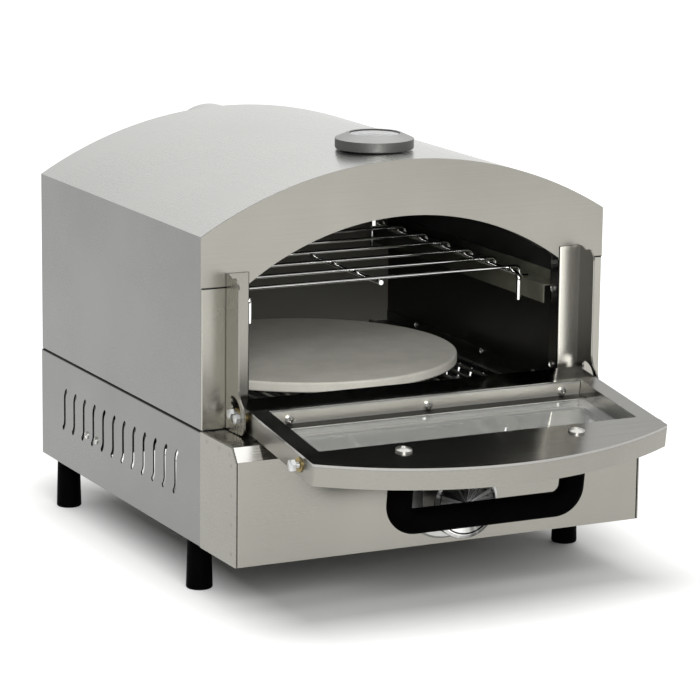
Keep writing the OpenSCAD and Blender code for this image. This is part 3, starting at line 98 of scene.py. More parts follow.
LENS_LOW, LENS_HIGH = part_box("thermometer_lens")
DOOR_JOINT = next(j for j in frame["joints"] if j["name"] == "door_swing")
DOOR_PIVOT = Vector(DOOR_JOINT["pos_m"])
DOOR_TILT = math.radians(DOOR_JOINT["range_deg"][1] - 90.0)
# Square to the open door, upwards
DOOR_UP = Vector((0.0, -math.sin(DOOR_TILT), math.cos(DOOR_TILT)))


# ---- Settings a user can change ----


def colour_setting(name, description, default):
    return FloatVectorProperty(name=name, description=description, subtype="COLOR", default=default, min=0, max=1)


def length_setting(name, description, default, low, high):
    return FloatProperty(name=name, description=description, unit="LENGTH", default=default, min=low, max=high)


class OvenFinishes(bpy.types.PropertyGroup):
    """Colours of the oven's finishes."""

    steel: colour_setting("Steel", "Colour of the hood and base", (0.208, 0.208, 0.203))
    front_steel: colour_setting(
        "Front steel", "Colour of the front, the brackets and the door's shell", (0.27, 0.262, 0.235)
    )
    door_steel: colour_setting("Door steel", "Colour of the door's inner panel", (0.34, 0.335, 0.32))
    enamel: colour_setting("Cavity enamel", "Colour inside the oven", (0.007, 0.007, 0.0055))
    stone: colour_setting("Stone", "Colour of the baking stone", (0.66, 0.64, 0.57))
    grip: colour_setting("Handle", "Colour of the handle and knob", (0.0015, 0.0015, 0.0015))
    glass: colour_setting("Glass", "Tint of the door's glass", (0.95, 0.96, 0.95))


class OvenSizes(bpy.types.PropertyGroup):
    """Sizes of the fine pieces."""

    tick_length: length_setting("Tick length", "Length of the dial's long marks", 0.0032, 0.001, 0.006)
    tick_count: IntProperty(name="Ticks", description="Marks round the dial", default=31, min=7, max=61)
    thread_pitch: length_setting("Thread pitch", "Pitch of the catch bolts' threads", 0.0008, 0.0004, 0.0016)
    handle_bend: length_setting(
        "Handle corner", "Radius of the handle's corners at mid-tube", 0.016, 0.012, 0.025
    )
    weld_spacing: length_setting(
        "Weld spacing", "Spacing of the spot welds on the control box", 0.026, 0.015, 0.04
    )


def finishes():
    return bpy.context.scene.oven_finishes


def sizes():
    return bpy.context.scene.oven_sizes


# ---- Node helpers ----


def link(tree, a, b):
    tree.links.new(a, b)


def feed(tree, sockets, values):
    """Links each value that is a socket and sets the others, by the input's name or number."""
    for key, value in values.items():
        if isinstance(value, bpy.types.NodeSocket):
            link(tree, value, sockets[key])
        else:
            sockets[key].default_value = value


def add(tree, kind, values, **settings):
    """A shader node of a kind, with its settings and inputs."""
    node = tree.nodes.new("ShaderNode" + kind)
    for name, value in settings.items():
        setattr(node, name, value)
    feed(tree, node.inputs, values)
    return node


def math_node(tree, operation, a, b=None, clamp=False):
    """A Math node whose inputs are sockets or numbers."""
    values = {i: v for i, v in enumerate((a, b)) if v is not None}
    return add(tree, "Math", values, operation=operation, use_clamp=clamp).outputs[0]


def product(tree, value, *others):
    for other in others:
        value = math_node(tree, "MULTIPLY", value, other)
    return value


def vector_math(tree, operation, *values):
    return add(tree, "VectorMath", dict(enumerate(values)), operation=operation).outputs


def map_range(tree, value, low, high, to_low=0.0, to_high=1.0):
    values = dict(enumerate((value, low, high, to_low, to_high)))
    return add(tree, "MapRange", values, clamp=True).outputs[0]


def noise(tree, vector, scale, detail=2.0, rough=0.5):
    values = {"Vector": vector, "Scale": scale, "Detail": detail, "Roughness": rough}
    return add(tree, "TexNoise", values).outputs["Fac"]


def axes(tree, vector):
    """The X, Y and Z parts of a vector."""
    return add(tree, "SeparateXYZ", {0: vector}).outputs


def normal(tree):
    """The surface normal in the object's own axes."""
    return add(tree, "TexCoord", {}).outputs["Normal"]


def mix_colour(tree, factor, a, b):
    """Colour a where the factor is 0, and colour b where it is 1."""
    node = add(tree, "Mix", {"Factor": factor}, data_type="RGBA")
    for name, v in (("A", a), ("B", b)):
        socket = next(s for s in node.inputs if s.name == name and s.type == "RGBA")
        if isinstance(v, (tuple, list)):
            socket.default_value = (*v[:3], 1.0)
        else:
            link(tree, v, socket)
    return next(s for s in node.outputs if s.type == "RGBA")


def times(colour, factor):
    """A colour with each channel multiplied."""
    return [c * factor for c in colour]


def bump(tree, height, strength, distance):
    values = {"Strength": strength, "Distance": distance, "Height": height}
    return add(tree, "Bump", values).outputs["Normal"]


def new_group(name, inputs, outputs):
    """A shader group with the named float or vector sockets; returns tree, inputs and outputs."""
    tree = bpy.data.node_groups.new(name, "ShaderNodeTree")
    kinds = {"f": "NodeSocketFloat", "v": "NodeSocketVector"}
    for label, kind, value in inputs:
        socket = tree.interface.new_socket(label, in_out="INPUT", socket_type=kinds[kind])
        if value is not None:
            socket.default_value = value
    for label in outputs:
        tree.interface.new_socket(label, in_out="OUTPUT", socket_type="NodeSocketFloat")
    ins = tree.nodes.new("NodeGroupInput")
    outs = tree.nodes.new("NodeGroupOutput")
    return tree, ins.outputs, outs.inputs


def grain_group():
    """Brushed grain: noise squeezed across the brushing, and broad handling marks."""
    name = "brushed_grain"
    if name in bpy.data.node_groups:
        return bpy.data.node_groups[name]
    sockets = [("Vector", "v", None), ("Stretch", "v", (1.0, 1.0, 1.0)), ("Smudge scale", "f", 9.0)]
    tree, i, o = new_group(name, sockets, ["Grain", "Smudge"])
    squeezed = vector_math(tree, "MULTIPLY", i["Vector"], i["Stretch"])[0]
    link(tree, map_range(tree, noise(tree, squeezed, 1.0, 3.0, 0.65), 0.3, 0.7), o["Grain"])
    broad = noise(tree, i["Vector"], i["Smudge scale"], 4.0)
    link(tree, map_range(tree, broad, 0.35, 0.7), o["Smudge"])
    return tree


def speckle_group():
    """Cast or moulded texture: fine grit, soft mottling and scattered pits."""
    name = "speckle"
    if name in bpy.data.node_groups:
        return bpy.data.node_groups[name]
    sockets = [("Vector", "v", None), ("Scale", "f", 800.0)]
    tree, i, o = new_group(name, sockets, ["Grit", "Mottle", "Pits"])
    link(tree, noise(tree, i["Vector"], i["Scale"], 3.0), o["Grit"])
    coarse = noise(tree, i["Vector"], product(tree, i["Scale"], 0.04), 5.0)
    link(tree, map_range(tree, coarse, 0.35, 0.68), o["Mottle"])
    values = {"Vector": i["Vector"], "Scale": product(tree, i["Scale"], 0.35)}
    cells = add(tree, "TexVoronoi", values).outputs["Distance"]
    link(tree, map_range(tree, cells, 0.04, 0.16, 1.0, 0.0), o["Pits"])
    return tree


def place_group(tree, group, vector, **values):
    named = {label.replace("_", " "): value for label, value in values.items()}
    return add(tree, "Group", {"Vector": vector, **named}, node_tree=group).outputs


def new_material(name):
    """A material with a Principled BSDF; returns material, tree, shader and Object coordinates."""
    material = bpy.data.materials.new(name)
    material.use_nodes = True
    tree = material.node_tree
    shader = tree.nodes["Principled BSDF"]
    coords = tree.nodes.new("ShaderNodeTexCoord").outputs["Object"]
    return material, tree, shader, coords


def facing(tree, axis, low, high):
    """A mask from 0 to 1 as the normal's part along an axis goes from low to high."""
    return map_range(tree, axes(tree, normal(tree))[axis], low, high)


def along_axis(tree, coords, axis, low, high):
    """A mask from 0 to 1 as the place along an axis goes from low to high."""
    return map_range(tree, axes(tree, coords)[axis], low, high)


def by_normal(axis, low, high):
    """A zone's mask by the normal's part along an axis."""
    return lambda tree, coords: facing(tree, axis, low, high)


def by_place(axis, low, high):
    """A zone's mask by the place along an axis."""
    return lambda tree, coords: along_axis(tree, coords, axis, low, high)


def by_line(low, high):
    """A zone's mask by edge_line."""
    return lambda tree, coords: edge_line(tree, coords, low, high)


def edge_line(tree, coords, low, high):
    """A mask that is 1 on a front face between two heights, with a short fade."""
    fade = 0.2 * MM
    above = along_axis(tree, coords, "Z", low - fade, low)
    below = along_axis(tree, coords, "Z", high + fade, high)
    return product(tree, above, below, facing(tree, "Y", -0.5, -0.9))


def cut_edges(tree, coords, low, high):
    """A mask on the walls of a side panel's slots: turned along Y or Z, and away from the panel's own folds."""
    fold = 10 * MM
    across = math_node(tree, "ABSOLUTE", axes(tree, normal(tree))["X"])
    turned = map_range(tree, across, 0.8, 0.5)
    above = along_axis(tree, coords, "Z", low.z + fold, low.z + fold + MM)
    below = along_axis(tree, coords, "Z", high.z - fold, high.z - fold - MM)
    inward = along_axis(tree, coords, "Y", high.y - fold - MM, high.y - fold - 2 * MM)
    return product(tree, turned, inward, product(tree, above, below))


def inner_face(tree, coords):
    """A mask on side faces that look in towards the middle plane."""
    side = math_node(tree, "SIGN", axes(tree, coords)["X"])
    return map_range(tree, product(tree, axes(tree, normal(tree))["X"], side), -0.2, -0.6)


def towards_axis(tree, coords, centre):
    """A mask on faces that look in towards an upright axis: the normal's part along the radius, turned round."""
    place = vector_math(tree, "SUBTRACT", coords, centre)[0]
    flat = vector_math(tree, "NORMALIZE", vector_math(tree, "MULTIPLY", place, (1.0, 1.0, 0.0))[0])[0]
    along_radius = vector_math(tree, "DOT_PRODUCT", flat, normal(tree))["Value"]
    return map_range(tree, along_radius, -0.3, -0.7)


def door_height(tree, coords, low, high):
    """A mask from 0 to 1 as the height square to the open door goes from low to high."""
    return map_range(tree, vector_math(tree, "DOT_PRODUCT", coords, DOOR_UP)["Value"], low, high)


def in_zones(tree, coords, base, zones):
    """Lays each zone's colour over the base: a zone is a function of tree and coordinates, and a colour."""
    for mask, colour in zones:
        base = mix_colour(tree, mask(tree, coords), base, colour)
    return base


def brushed_material(
    name, colour, stretch, roughness=0.30, spread=0.06, contrast=0.03, smudge=0.04,
    grain_depth=0.00001, zones=(), plain=None,
):
    """Brushed sheet: grain in colour, gloss and bump, soft clouding, and zones of another colour.

    The grain fades out where the mask of the plain function is 1.
    """
    material, tree, shader, coords = new_material(name)
    g = place_group(tree, grain_group(), coords, Stretch=stretch)
    whole = add(tree, "RGB", {}).outputs[0]
    whole.default_value = (*colour[:3], 1.0)
    base = in_zones(tree, coords, whole, zones)
    lines = g["Grain"]
    if plain:
        fade = math_node(tree, "SUBTRACT", 1.0, plain(tree, coords))
        lines = math_node(tree, "ADD", product(tree, math_node(tree, "SUBTRACT", lines, 0.5), fade), 0.5)
    grain = map_range(tree, lines, 0.0, 1.0, 1.0 - contrast, 1.0 + contrast)
    clouds = map_range(tree, g["Smudge"], 0.0, 1.0, 1.03, 0.97)
    rough = map_range(tree, lines, 0.0, 1.0, roughness - spread / 2, roughness + spread / 2)
    feed(tree, shader.inputs, {
        "Base Color": vector_math(tree, "MULTIPLY", base, product(tree, grain, clouds))[0],
        "Roughness": math_node(tree, "ADD", rough, product(tree, g["Smudge"], smudge)),
        "Normal": bump(tree, lines, 0.2, grain_depth),
        "Metallic": 1.0,
    })
    return material


def painted_material(
    name, colour, roughness=0.5, scale=700.0, depth=0.0001, metallic=0.0, variation=0.15, coat=0.0, shine=0.5,
    ior=1.5, zones=(),
):
    """Paint, enamel, rubber or moulding: fine grit with soft mottling."""
    material, tree, shader, coords = new_material(name)
    g = place_group(tree, speckle_group(), coords, Scale=scale)
    light = [min(1.0, c) for c in times(colour, 1.0 + variation)]
    base = mix_colour(tree, g["Mottle"], times(colour, 1.0 - variation), light)
    rough = product(tree, g["Mottle"], 0.12)
    feed(tree, shader.inputs, {
        "Base Color": in_zones(tree, coords, base, zones),
        "Roughness": math_node(tree, "ADD", rough, roughness - 0.06, clamp=True),
        "Normal": bump(tree, g["Grit"], 0.3, depth),
        "Metallic": metallic,
        "Coat Weight": coat,
        "Specular IOR Level": shine,
        "IOR": ior,
    })
    return material


def metal_material(name, colour, roughness=0.18, variation=0.10, zones=()):
    """Plated or turned metal with faint tarnish."""
    return painted_material(name, colour, roughness, 900.0, 0.00002, 1.0, variation, zones=zones)


def glass_material(name, colour, roughness=0.02, clear=1.0):
    """Glass with a faint haze of wiping marks."""
    material, tree, shader, coords = new_material(name)
    g = place_group(tree, grain_group(), coords, Stretch=(30.0, 90.0, 30.0), Smudge_scale=14.0)
    feed(tree, shader.inputs, {
        "Roughness": math_node(tree, "ADD", product(tree, g["Smudge"], 0.012), roughness),
        "Base Color": (*colour, 1.0),
        "Transmission Weight": clear,
        "IOR": 1.48,
    })
    return material


def give(material, *nodes):
    """Puts a material on every slot of the named nodes."""
    for name in nodes:
        mesh = NODES[name].data
        if not mesh.materials:
            mesh.materials.append(material)
        for slot in NODES[name].material_slots:
            slot.material = material


# ---- Mesh helpers ----


def around(steps):
    """Angles of one whole turn."""
    return np.linspace(0.0, TURN, steps, endpoint=False)


def grid_mesh(name, points):
    """A mesh over an array of points of shape (u, v, 3), closed round v."""
    u, v = points.shape[:2]
    a, b = (index.ravel() for index in np.meshgrid(np.arange(u - 1), np.arange(v), indexing="ij"))
    b2 = (b + 1) % v
    faces = np.stack([a * v + b, (a + 1) * v + b, (a + 1) * v + b2, a * v + b2], axis=1)
    mesh = bpy.data.meshes.new(name)
    mesh.from_pydata(points.reshape(-1, 3).tolist(), [], faces.tolist())
    return mesh


def tidy_mesh(mesh):
    """Merges doubles, points faces outwards and shades by angle."""
    bm = bmesh.new()
    bm.from_mesh(mesh)
    bmesh.ops.remove_doubles(bm, verts=bm.verts, dist=1e-7)
    bmesh.ops.recalc_face_normals(bm, faces=bm.faces)
    bm.to_mesh(mesh)
    bm.free()
    mesh.shade_smooth()
    mesh.set_sharp_from_angle(angle=math.radians(35.0))
    mesh.update()


def in_scene(name, data):
    """A new object in the scene."""
    item = bpy.data.objects.new(name, data)
    bpy.context.scene.collection.objects.link(item)
    return item


def new_piece(name, meshes, material, body, slot, *replaced):
    """Joins meshes into one piece at the origin that rides on a body."""
    bm = bmesh.new()
    for mesh in meshes:
        bm.from_mesh(mesh)
        bpy.data.meshes.remove(mesh)
    mesh = bpy.data.meshes.new(name)
    bm.to_mesh(mesh)
    bm.free()
    tidy_mesh(mesh)
    piece = in_scene(name, mesh)
    mesh.materials.append(material)
    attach(piece, body)
    if replaced:
        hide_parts(*replaced)
    return piece


def moved(mesh, matrix):
    mesh.transform(matrix)
    return mesh


def axis_matrix(place, direction, turn=0.0):
    """Turns +Z to a direction, after a turn about +Z, and moves the origin to a place."""
    q = Vector((0.0, 0.0, 1.0)).rotation_difference(Vector(direction))
    return Matrix.Translation(place) @ q.to_matrix().to_4x4() @ Matrix.Rotation(turn, 4, "Z")


def islands(node):
    """The separate solids of a node, each as an array of its corner points."""
    bm = bmesh.new()
    bm.from_mesh(NODES[node].data)
    bmesh.ops.remove_doubles(bm, verts=bm.verts, dist=1e-6)
    bm.verts.ensure_lookup_table()
    seen, found = set(), []
    for start in bm.verts:
        if start.index in seen:
            continue
        stack, group = [start], []
        seen.add(start.index)
        while stack:
            v = stack.pop()
            group.append(v.co[:])
            for e in v.link_edges:
                w = e.other_vert(v)
                if w.index not in seen:
                    seen.add(w.index)
                    stack.append(w)
        found.append(np.array(group))
    bm.free()
    return found


def along(points, direction):
    """An island's centre line point at its far end along a direction, and its length along it."""
    a = np.array(Vector(direction).normalized())
    side = np.cross(a, (1.0, 0.0, 0.0) if abs(a[0]) < 0.9 else (0.0, 1.0, 0.0))
    side /= np.linalg.norm(side)
    up = np.cross(a, side)
    reach, s, t = points @ a, points @ side, points @ up
    centre = a * reach.max() + side * (s.max() + s.min()) / 2 + up * (t.max() + t.min()) / 2
    return Vector(centre), float(reach.max() - reach.min())


def turned_points(profile, t):
    """Each (radius, height) of the profile at the angles t about Z."""
    p = np.array(profile, float)
    return np.stack([p[:, :1] * np.cos(t), p[:, :1] * np.sin(t), np.repeat(p[:, 1:], len(t), 1)], axis=2)


def revolve(name, profile, steps=48):
    """A surface of revolution: each (radius, height) of the profile turned about Z."""
    return grid_mesh(name, turned_points(profile, around(steps)))


def screw_mesh(head_r, head_h, length, shank_r, cross=0.62, dome=0.5, steps=72):
    """A domed head with a cross recess, and its shank.

    Over the head, height = dome(r) - depth * recess, where the dome is a circle's arc and the recess is 1 inside
    either arm of the cross and falls to 0 over a short slope at the arms' sides and ends.
    """
    t = around(steps)
    r = np.linspace(0.0, 1.0, 26) * head_r
    rr, tt = np.meshgrid(r, t, indexing="ij")
    x, y = rr * np.cos(tt), rr * np.sin(tt)
    dome_h = head_h * dome
    dome_r = (head_r**2 + dome_h**2) / (2 * dome_h)
    z = head_h - dome_r + np.sqrt(dome_r**2 - rr**2)
    reach, wide, slope = cross * head_r, 0.11 * head_r, 0.07 * head_r
    arm_x = np.clip((wide - np.abs(y)) / slope + 0.5, 0, 1) * np.clip((reach - np.abs(x)) / slope, 0, 1)
    arm_y = np.clip((wide - np.abs(x)) / slope + 0.5, 0, 1) * np.clip((reach - np.abs(y)) / slope, 0, 1)
    z = z - 0.55 * head_h * np.maximum(arm_x, arm_y)
    top = np.stack([x, y, z], axis=2)
    low = [(head_r, 0.0), (shank_r, 0.0), (shank_r, head_h - length), (0.0, head_h - length)]
    return grid_mesh("screw", np.concatenate([top, turned_points(low, t)]))


def hex_mesh(flats, height, steps=72):
    """A chamfered hexagon: radius to the flat is flats / 2 / cos(angle from the flat's middle), and the top falls
    away outside the circle that touches the flats."""
    t = around(steps)
    to_flat = (t + math.pi / 6) % (math.pi / 3) - math.pi / 6
    edge = flats / 2 / np.cos(to_flat)
    inner = flats / 2 * 0.94
    fall = (edge - inner) * 0.55
    zero, top = np.zeros(steps), np.full(steps, height)
    rings = [(zero, top), (np.full(steps, inner), top), (edge, height - fall), (edge, zero), (zero, zero)]
    pts = np.stack([np.stack([r * np.cos(t), r * np.sin(t), z], axis=1) for r, z in rings])
    return grid_mesh("hexagon", pts)


def thread_mesh(radius, length, pitch, steps=32):
    """A threaded shank: radius = r - depth * |saw(z / pitch - angle / turn)|, a grid closed round the axis."""
    t = around(steps)
    z = np.linspace(0.0, length, int(length / pitch * 6) + 1)
    zz, tt = np.meshgrid(z, t, indexing="ij")
    phase = (zz / pitch - tt / TURN) % 1.0
    fade = np.clip((length - zz) / pitch, 0, 1)
    r = radius - 0.55 * pitch * np.abs(2 * phase - 1) * fade - (1 - fade) * 0.3 * pitch
    pts = np.stack([r * np.cos(tt), r * np.sin(tt), zz], axis=2)
    ends = [np.zeros((1, steps, 3)), np.zeros((1, steps, 3))]
    ends[1][..., 2] = length
    return grid_mesh("thread", np.concatenate([ends[0], pts, ends[1]]))


# ---- Operators ----


class OVEN_OT_sheet_metal(bpy.types.Operator):
    """Gives the body, the brackets and the door their brushed steel, with painted light and shade in zones."""

    bl_idname = "oven.sheet_metal"
    bl_label = "Sheet metal"

    def execute(self, context):
        steel = tuple(finishes().steel)
        warm = tuple(finishes().front_steel)
        dark = tuple(finishes().door_steel)
        seam_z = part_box("hood_shell")[0].z
        # Painted light: the top faces of the hood and the cowl take the steel made 3.8 times lighter
        roof_painted_light = [min(1.0, c) for c in times(steel, 3.8)]
        fascia_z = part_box("front_fascia")[0].z
        line = 0.9 * MM
        # Painted light: the hood's front faces take the front steel made 1.4 times lighter
        front_strip = by_normal("Y", -0.3, -0.8)
        hood_zones = (
            (by_normal("Z", 0.15, 0.6), roof_painted_light),
            (front_strip, times(warm, 1.4)),
            # Painted shade on faces that look down, and in lines at the seam over the base and under the fascia
            (by_normal("Z", -0.15, -0.5), SEAM_SHADE),
            (by_line(seam_z, seam_z + line), SEAM_SHADE),
            (by_line(fascia_z - line, fascia_z), SEAM_SHADE),
        )
        hood = brushed_material(
            "hood_steel", steel, ALONG_Y, 0.25, 0.03, contrast=0.01, grain_depth=0.000004, zones=hood_zones,
            plain=front_strip,
        )
        give(hood, "hood_shell")
        base_low, base_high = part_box("base_shell")

        def top_flange(tree, at):
            height = along_axis(tree, at, "Z", seam_z - 1.2 * MM, seam_z - 0.8 * MM)
            return product(tree, facing(tree, "Z", 0.2, 0.5), height)

        # Painted shade in the walls of the side slots, on the faces inside the base and on the top flange under the
        # seam
        base_zones = (
            (lambda tree, at: cut_edges(tree, at, base_low, base_high), (0.012, 0.012, 0.012)),
            (inner_face, (0.03, 0.03, 0.03)),
            (top_flange, SEAM_SHADE),
        )
        give(brushed_material("base_steel", steel, ALONG_Y, 0.28, zones=base_zones), "base_shell")
        rear = times(steel, 1.2)
        give(brushed_material("rear_steel", rear, ALONG_Y, 0.28), "base_rear_panel", "rear_panel")
        # Painted light: the cowl's top takes the roof's lighter colour
        cowl_top_light = (by_normal("Z", 0.3, 0.8), roof_painted_light)
        give(brushed_material("cowl_steel", rear, ALONG_Y, 0.28, zones=(cowl_top_light,)), "flue_cowl")
        # Painted shade in a line along the fascia's bottom edge
        foot = (by_line(fascia_z, fascia_z + 0.4 * MM), SEAM_SHADE)
        give(brushed_material("fascia_steel", times(warm, 1.3), ACROSS_FRONT, zones=(foot,)), "front_fascia")
        self.control_box(warm)
        self.brackets(warm)
        give(brushed_material("door_shell_steel", warm, (12.0, 1200.0, 1200.0), 0.28), "door_outer_shell")
        back_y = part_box("glass_retainer")[1].y
        # Painted dark reflection: a near-black band at the back of the door's cover
        rear_band_dark_reflection = (by_place("Y", back_y, back_y + 4 * MM), times(dark, 0.06))
        cover = brushed_material(
            "door_cover_steel", dark, (9.0, 900.0, 300.0), 0.15, contrast=0.05, zones=(rear_band_dark_reflection,)
        )
        give(cover, "door_inner_panel")
        self.strip(warm)
        return {"FINISHED"}

    def control_box(self, warm):
        """The control panel, with painted shade in lines at its corners and over its slope, and a painted highlight on
        the slope's left end.
        """
        low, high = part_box("control_panel")
        line, fade, shine = 1.0 * MM, 0.7 * MM, 24 * MM

        def corners(tree, at):
            right = along_axis(tree, at, "X", high.x - line, high.x - fade)
            left = along_axis(tree, at, "X", low.x + line, low.x + fade)
            return product(tree, facing(tree, "Y", -0.3, -0.6), math_node(tree, "ADD", right, left))

        def slope_end(tree, at):
            left = along_axis(tree, at, "X", low.x + shine + MM, low.x + shine)
            return product(tree, facing(tree, "Z", 0.3, 0.5), facing(tree, "Y", -0.3, -0.5), left)

        # Painted shade over the slope and in the corner lines, and a near-white painted highlight on the slope's left
        # end
        slope = (by_normal("Z", 0.3, 0.6), times(warm, 0.6))
        zones = ((corners, SEAM_SHADE), slope, (slope_end, (1.0, 0.98, 0.94)))
        panel = brushed_material("panel_steel", times(warm, 1.08), ACROSS_FRONT, 0.22, zones=zones)
        give(panel, "control_panel")
        sides = brushed_material("front_steel", times(warm, 1.05), ACROSS_FRONT, 0.26)
        give(sides, "control_side_left", "control_side_right")

    def brackets(self, warm):
        """The hinge brackets, with painted shade on their inner faces, and a painted highlight on the right one's
        flange and fold.
        """
        ear_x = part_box("hinge_bracket_right")[1].x - EAR
        fade = 0.2 * MM

        def flange(tree, at, start=0.0):
            inward = along_axis(tree, at, "X", start, start + fade)
            outward = along_axis(tree, at, "X", ear_x + fade, ear_x)
            return product(tree, facing(tree, "Y", -0.7, -0.9), product(tree, inward, outward))

        def fold(tree, at):
            return flange(tree, at, ear_x - 1.1 * MM)

        # Painted shade on the inner faces, a painted highlight on the right bracket's flange and a near-white one at
        # its fold
        zones = ((inner_face, times(warm, 0.12)), (flange, times(warm, 2.9)), (fold, (0.95, 0.92, 0.86)))
        steel = brushed_material(
            "bracket_steel", times(warm, 1.08), (900.0, 900.0, 10.0), 0.24, 0.02, contrast=0.012,
            grain_depth=0.000002, zones=zones,
        )
        give(steel, "hinge_bracket_left", "hinge_bracket_right")

    def strip(self, warm):
        """The glass's strip: a painted dark reflection on its top flange, and painted highlights in lines at its fold
        and its top edge.
        """
        top_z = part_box("glass_retainer")[1].z
        fold = min(DOOR_UP.dot(v.co) for v in NODES["glass_retainer"].data.vertices) + 1.0 * MM

        def fold_line(tree, at):
            height = door_height(tree, at, fold + 1.7 * MM, fold + 1.2 * MM)
            return product(tree, height, facing(tree, "Y", -0.5, -0.9))

        # Painted dark reflection on the top flange, and painted highlights at the fold and along the top edge
        zones = (
            (by_normal("Z", 0.5, 0.8), times(warm, 0.12)),
            (fold_line, (0.9, 0.89, 0.85)),
            (by_place("Z", top_z - 1.6 * MM, top_z - 1.2 * MM), (0.75, 0.74, 0.70)),
        )
        steel = brushed_material("strip_steel", times(warm, 3.0), (8.0, 1200.0, 1200.0), 0.45, 0.03, zones=zones)
        give(steel, "glass_retainer")


class OVEN_OT_cavity(bpy.types.Operator):
    """Gives the cavity its dark enamel, with painted light on the liner's front-facing faces and painted shade deep on
    the ledges, and the burner and grate their worn metal.
    """

    bl_idname = "oven.cavity"
    bl_label = "Cavity"

    def execute(self, context):
        enamel = tuple(finishes().enamel)
        # Painted light: the liner's faces that look to the front, as the back wall does, are made much lighter
        lit_back_wall = (by_normal("Y", -0.5, -0.9), (0.14, 0.136, 0.118))
        liner = painted_material(
            "liner_enamel", enamel, 0.36, 900.0, 0.00006, variation=0.3, coat=0.05, shine=0.3, zones=(lit_back_wall,)
        )
        give(liner, "cavity_liner", "hearth_plate")
        frame_coat = painted_material("frame_enamel", times(enamel, 2.0), 0.34, 900.0, 0.00006, 0.6, 0.25)
        give(frame_coat, "cavity_front_frame")
        # Painted shade: the ledges are darker deep in the cavity
        deep_shade = (by_place("Y", -0.04, 0.10), times(enamel, 6.0))
        ledge = painted_material(
            "ledge_enamel", times(enamel, 38.0), 0.34, 900.0, 0.00004, 0.6, 0.2, zones=(deep_shade,)
        )
        give(ledge, "rack_ledge_left", "rack_ledge_right")
        grate = painted_material("grate_enamel", (0.055, 0.053, 0.048), 0.30, 1100.0, 0.00005, 0.5, 0.3, 0.3)
        give(grate, "stone_grate")
        burner = metal_material("burner_steel", (0.30, 0.27, 0.23), 0.38, 0.35)
        give(burner, "burner_tube", "burner_brackets", "venturi_tube")
        coated = brushed_material(
            "coated_sheet", (0.42, 0.42, 0.42), (18.0, 18.0, 18.0), 0.42, contrast=0.16, smudge=0.12
        )
        give(coated, "heat_shield", "flue_duct")
        porcelain = painted_material(
            "porcelain", (0.82, 0.80, 0.74), 0.2, 500.0, 0.00003, variation=0.04, coat=0.5
        )
        give(porcelain, "igniter_electrode")
        return {"FINISHED"}


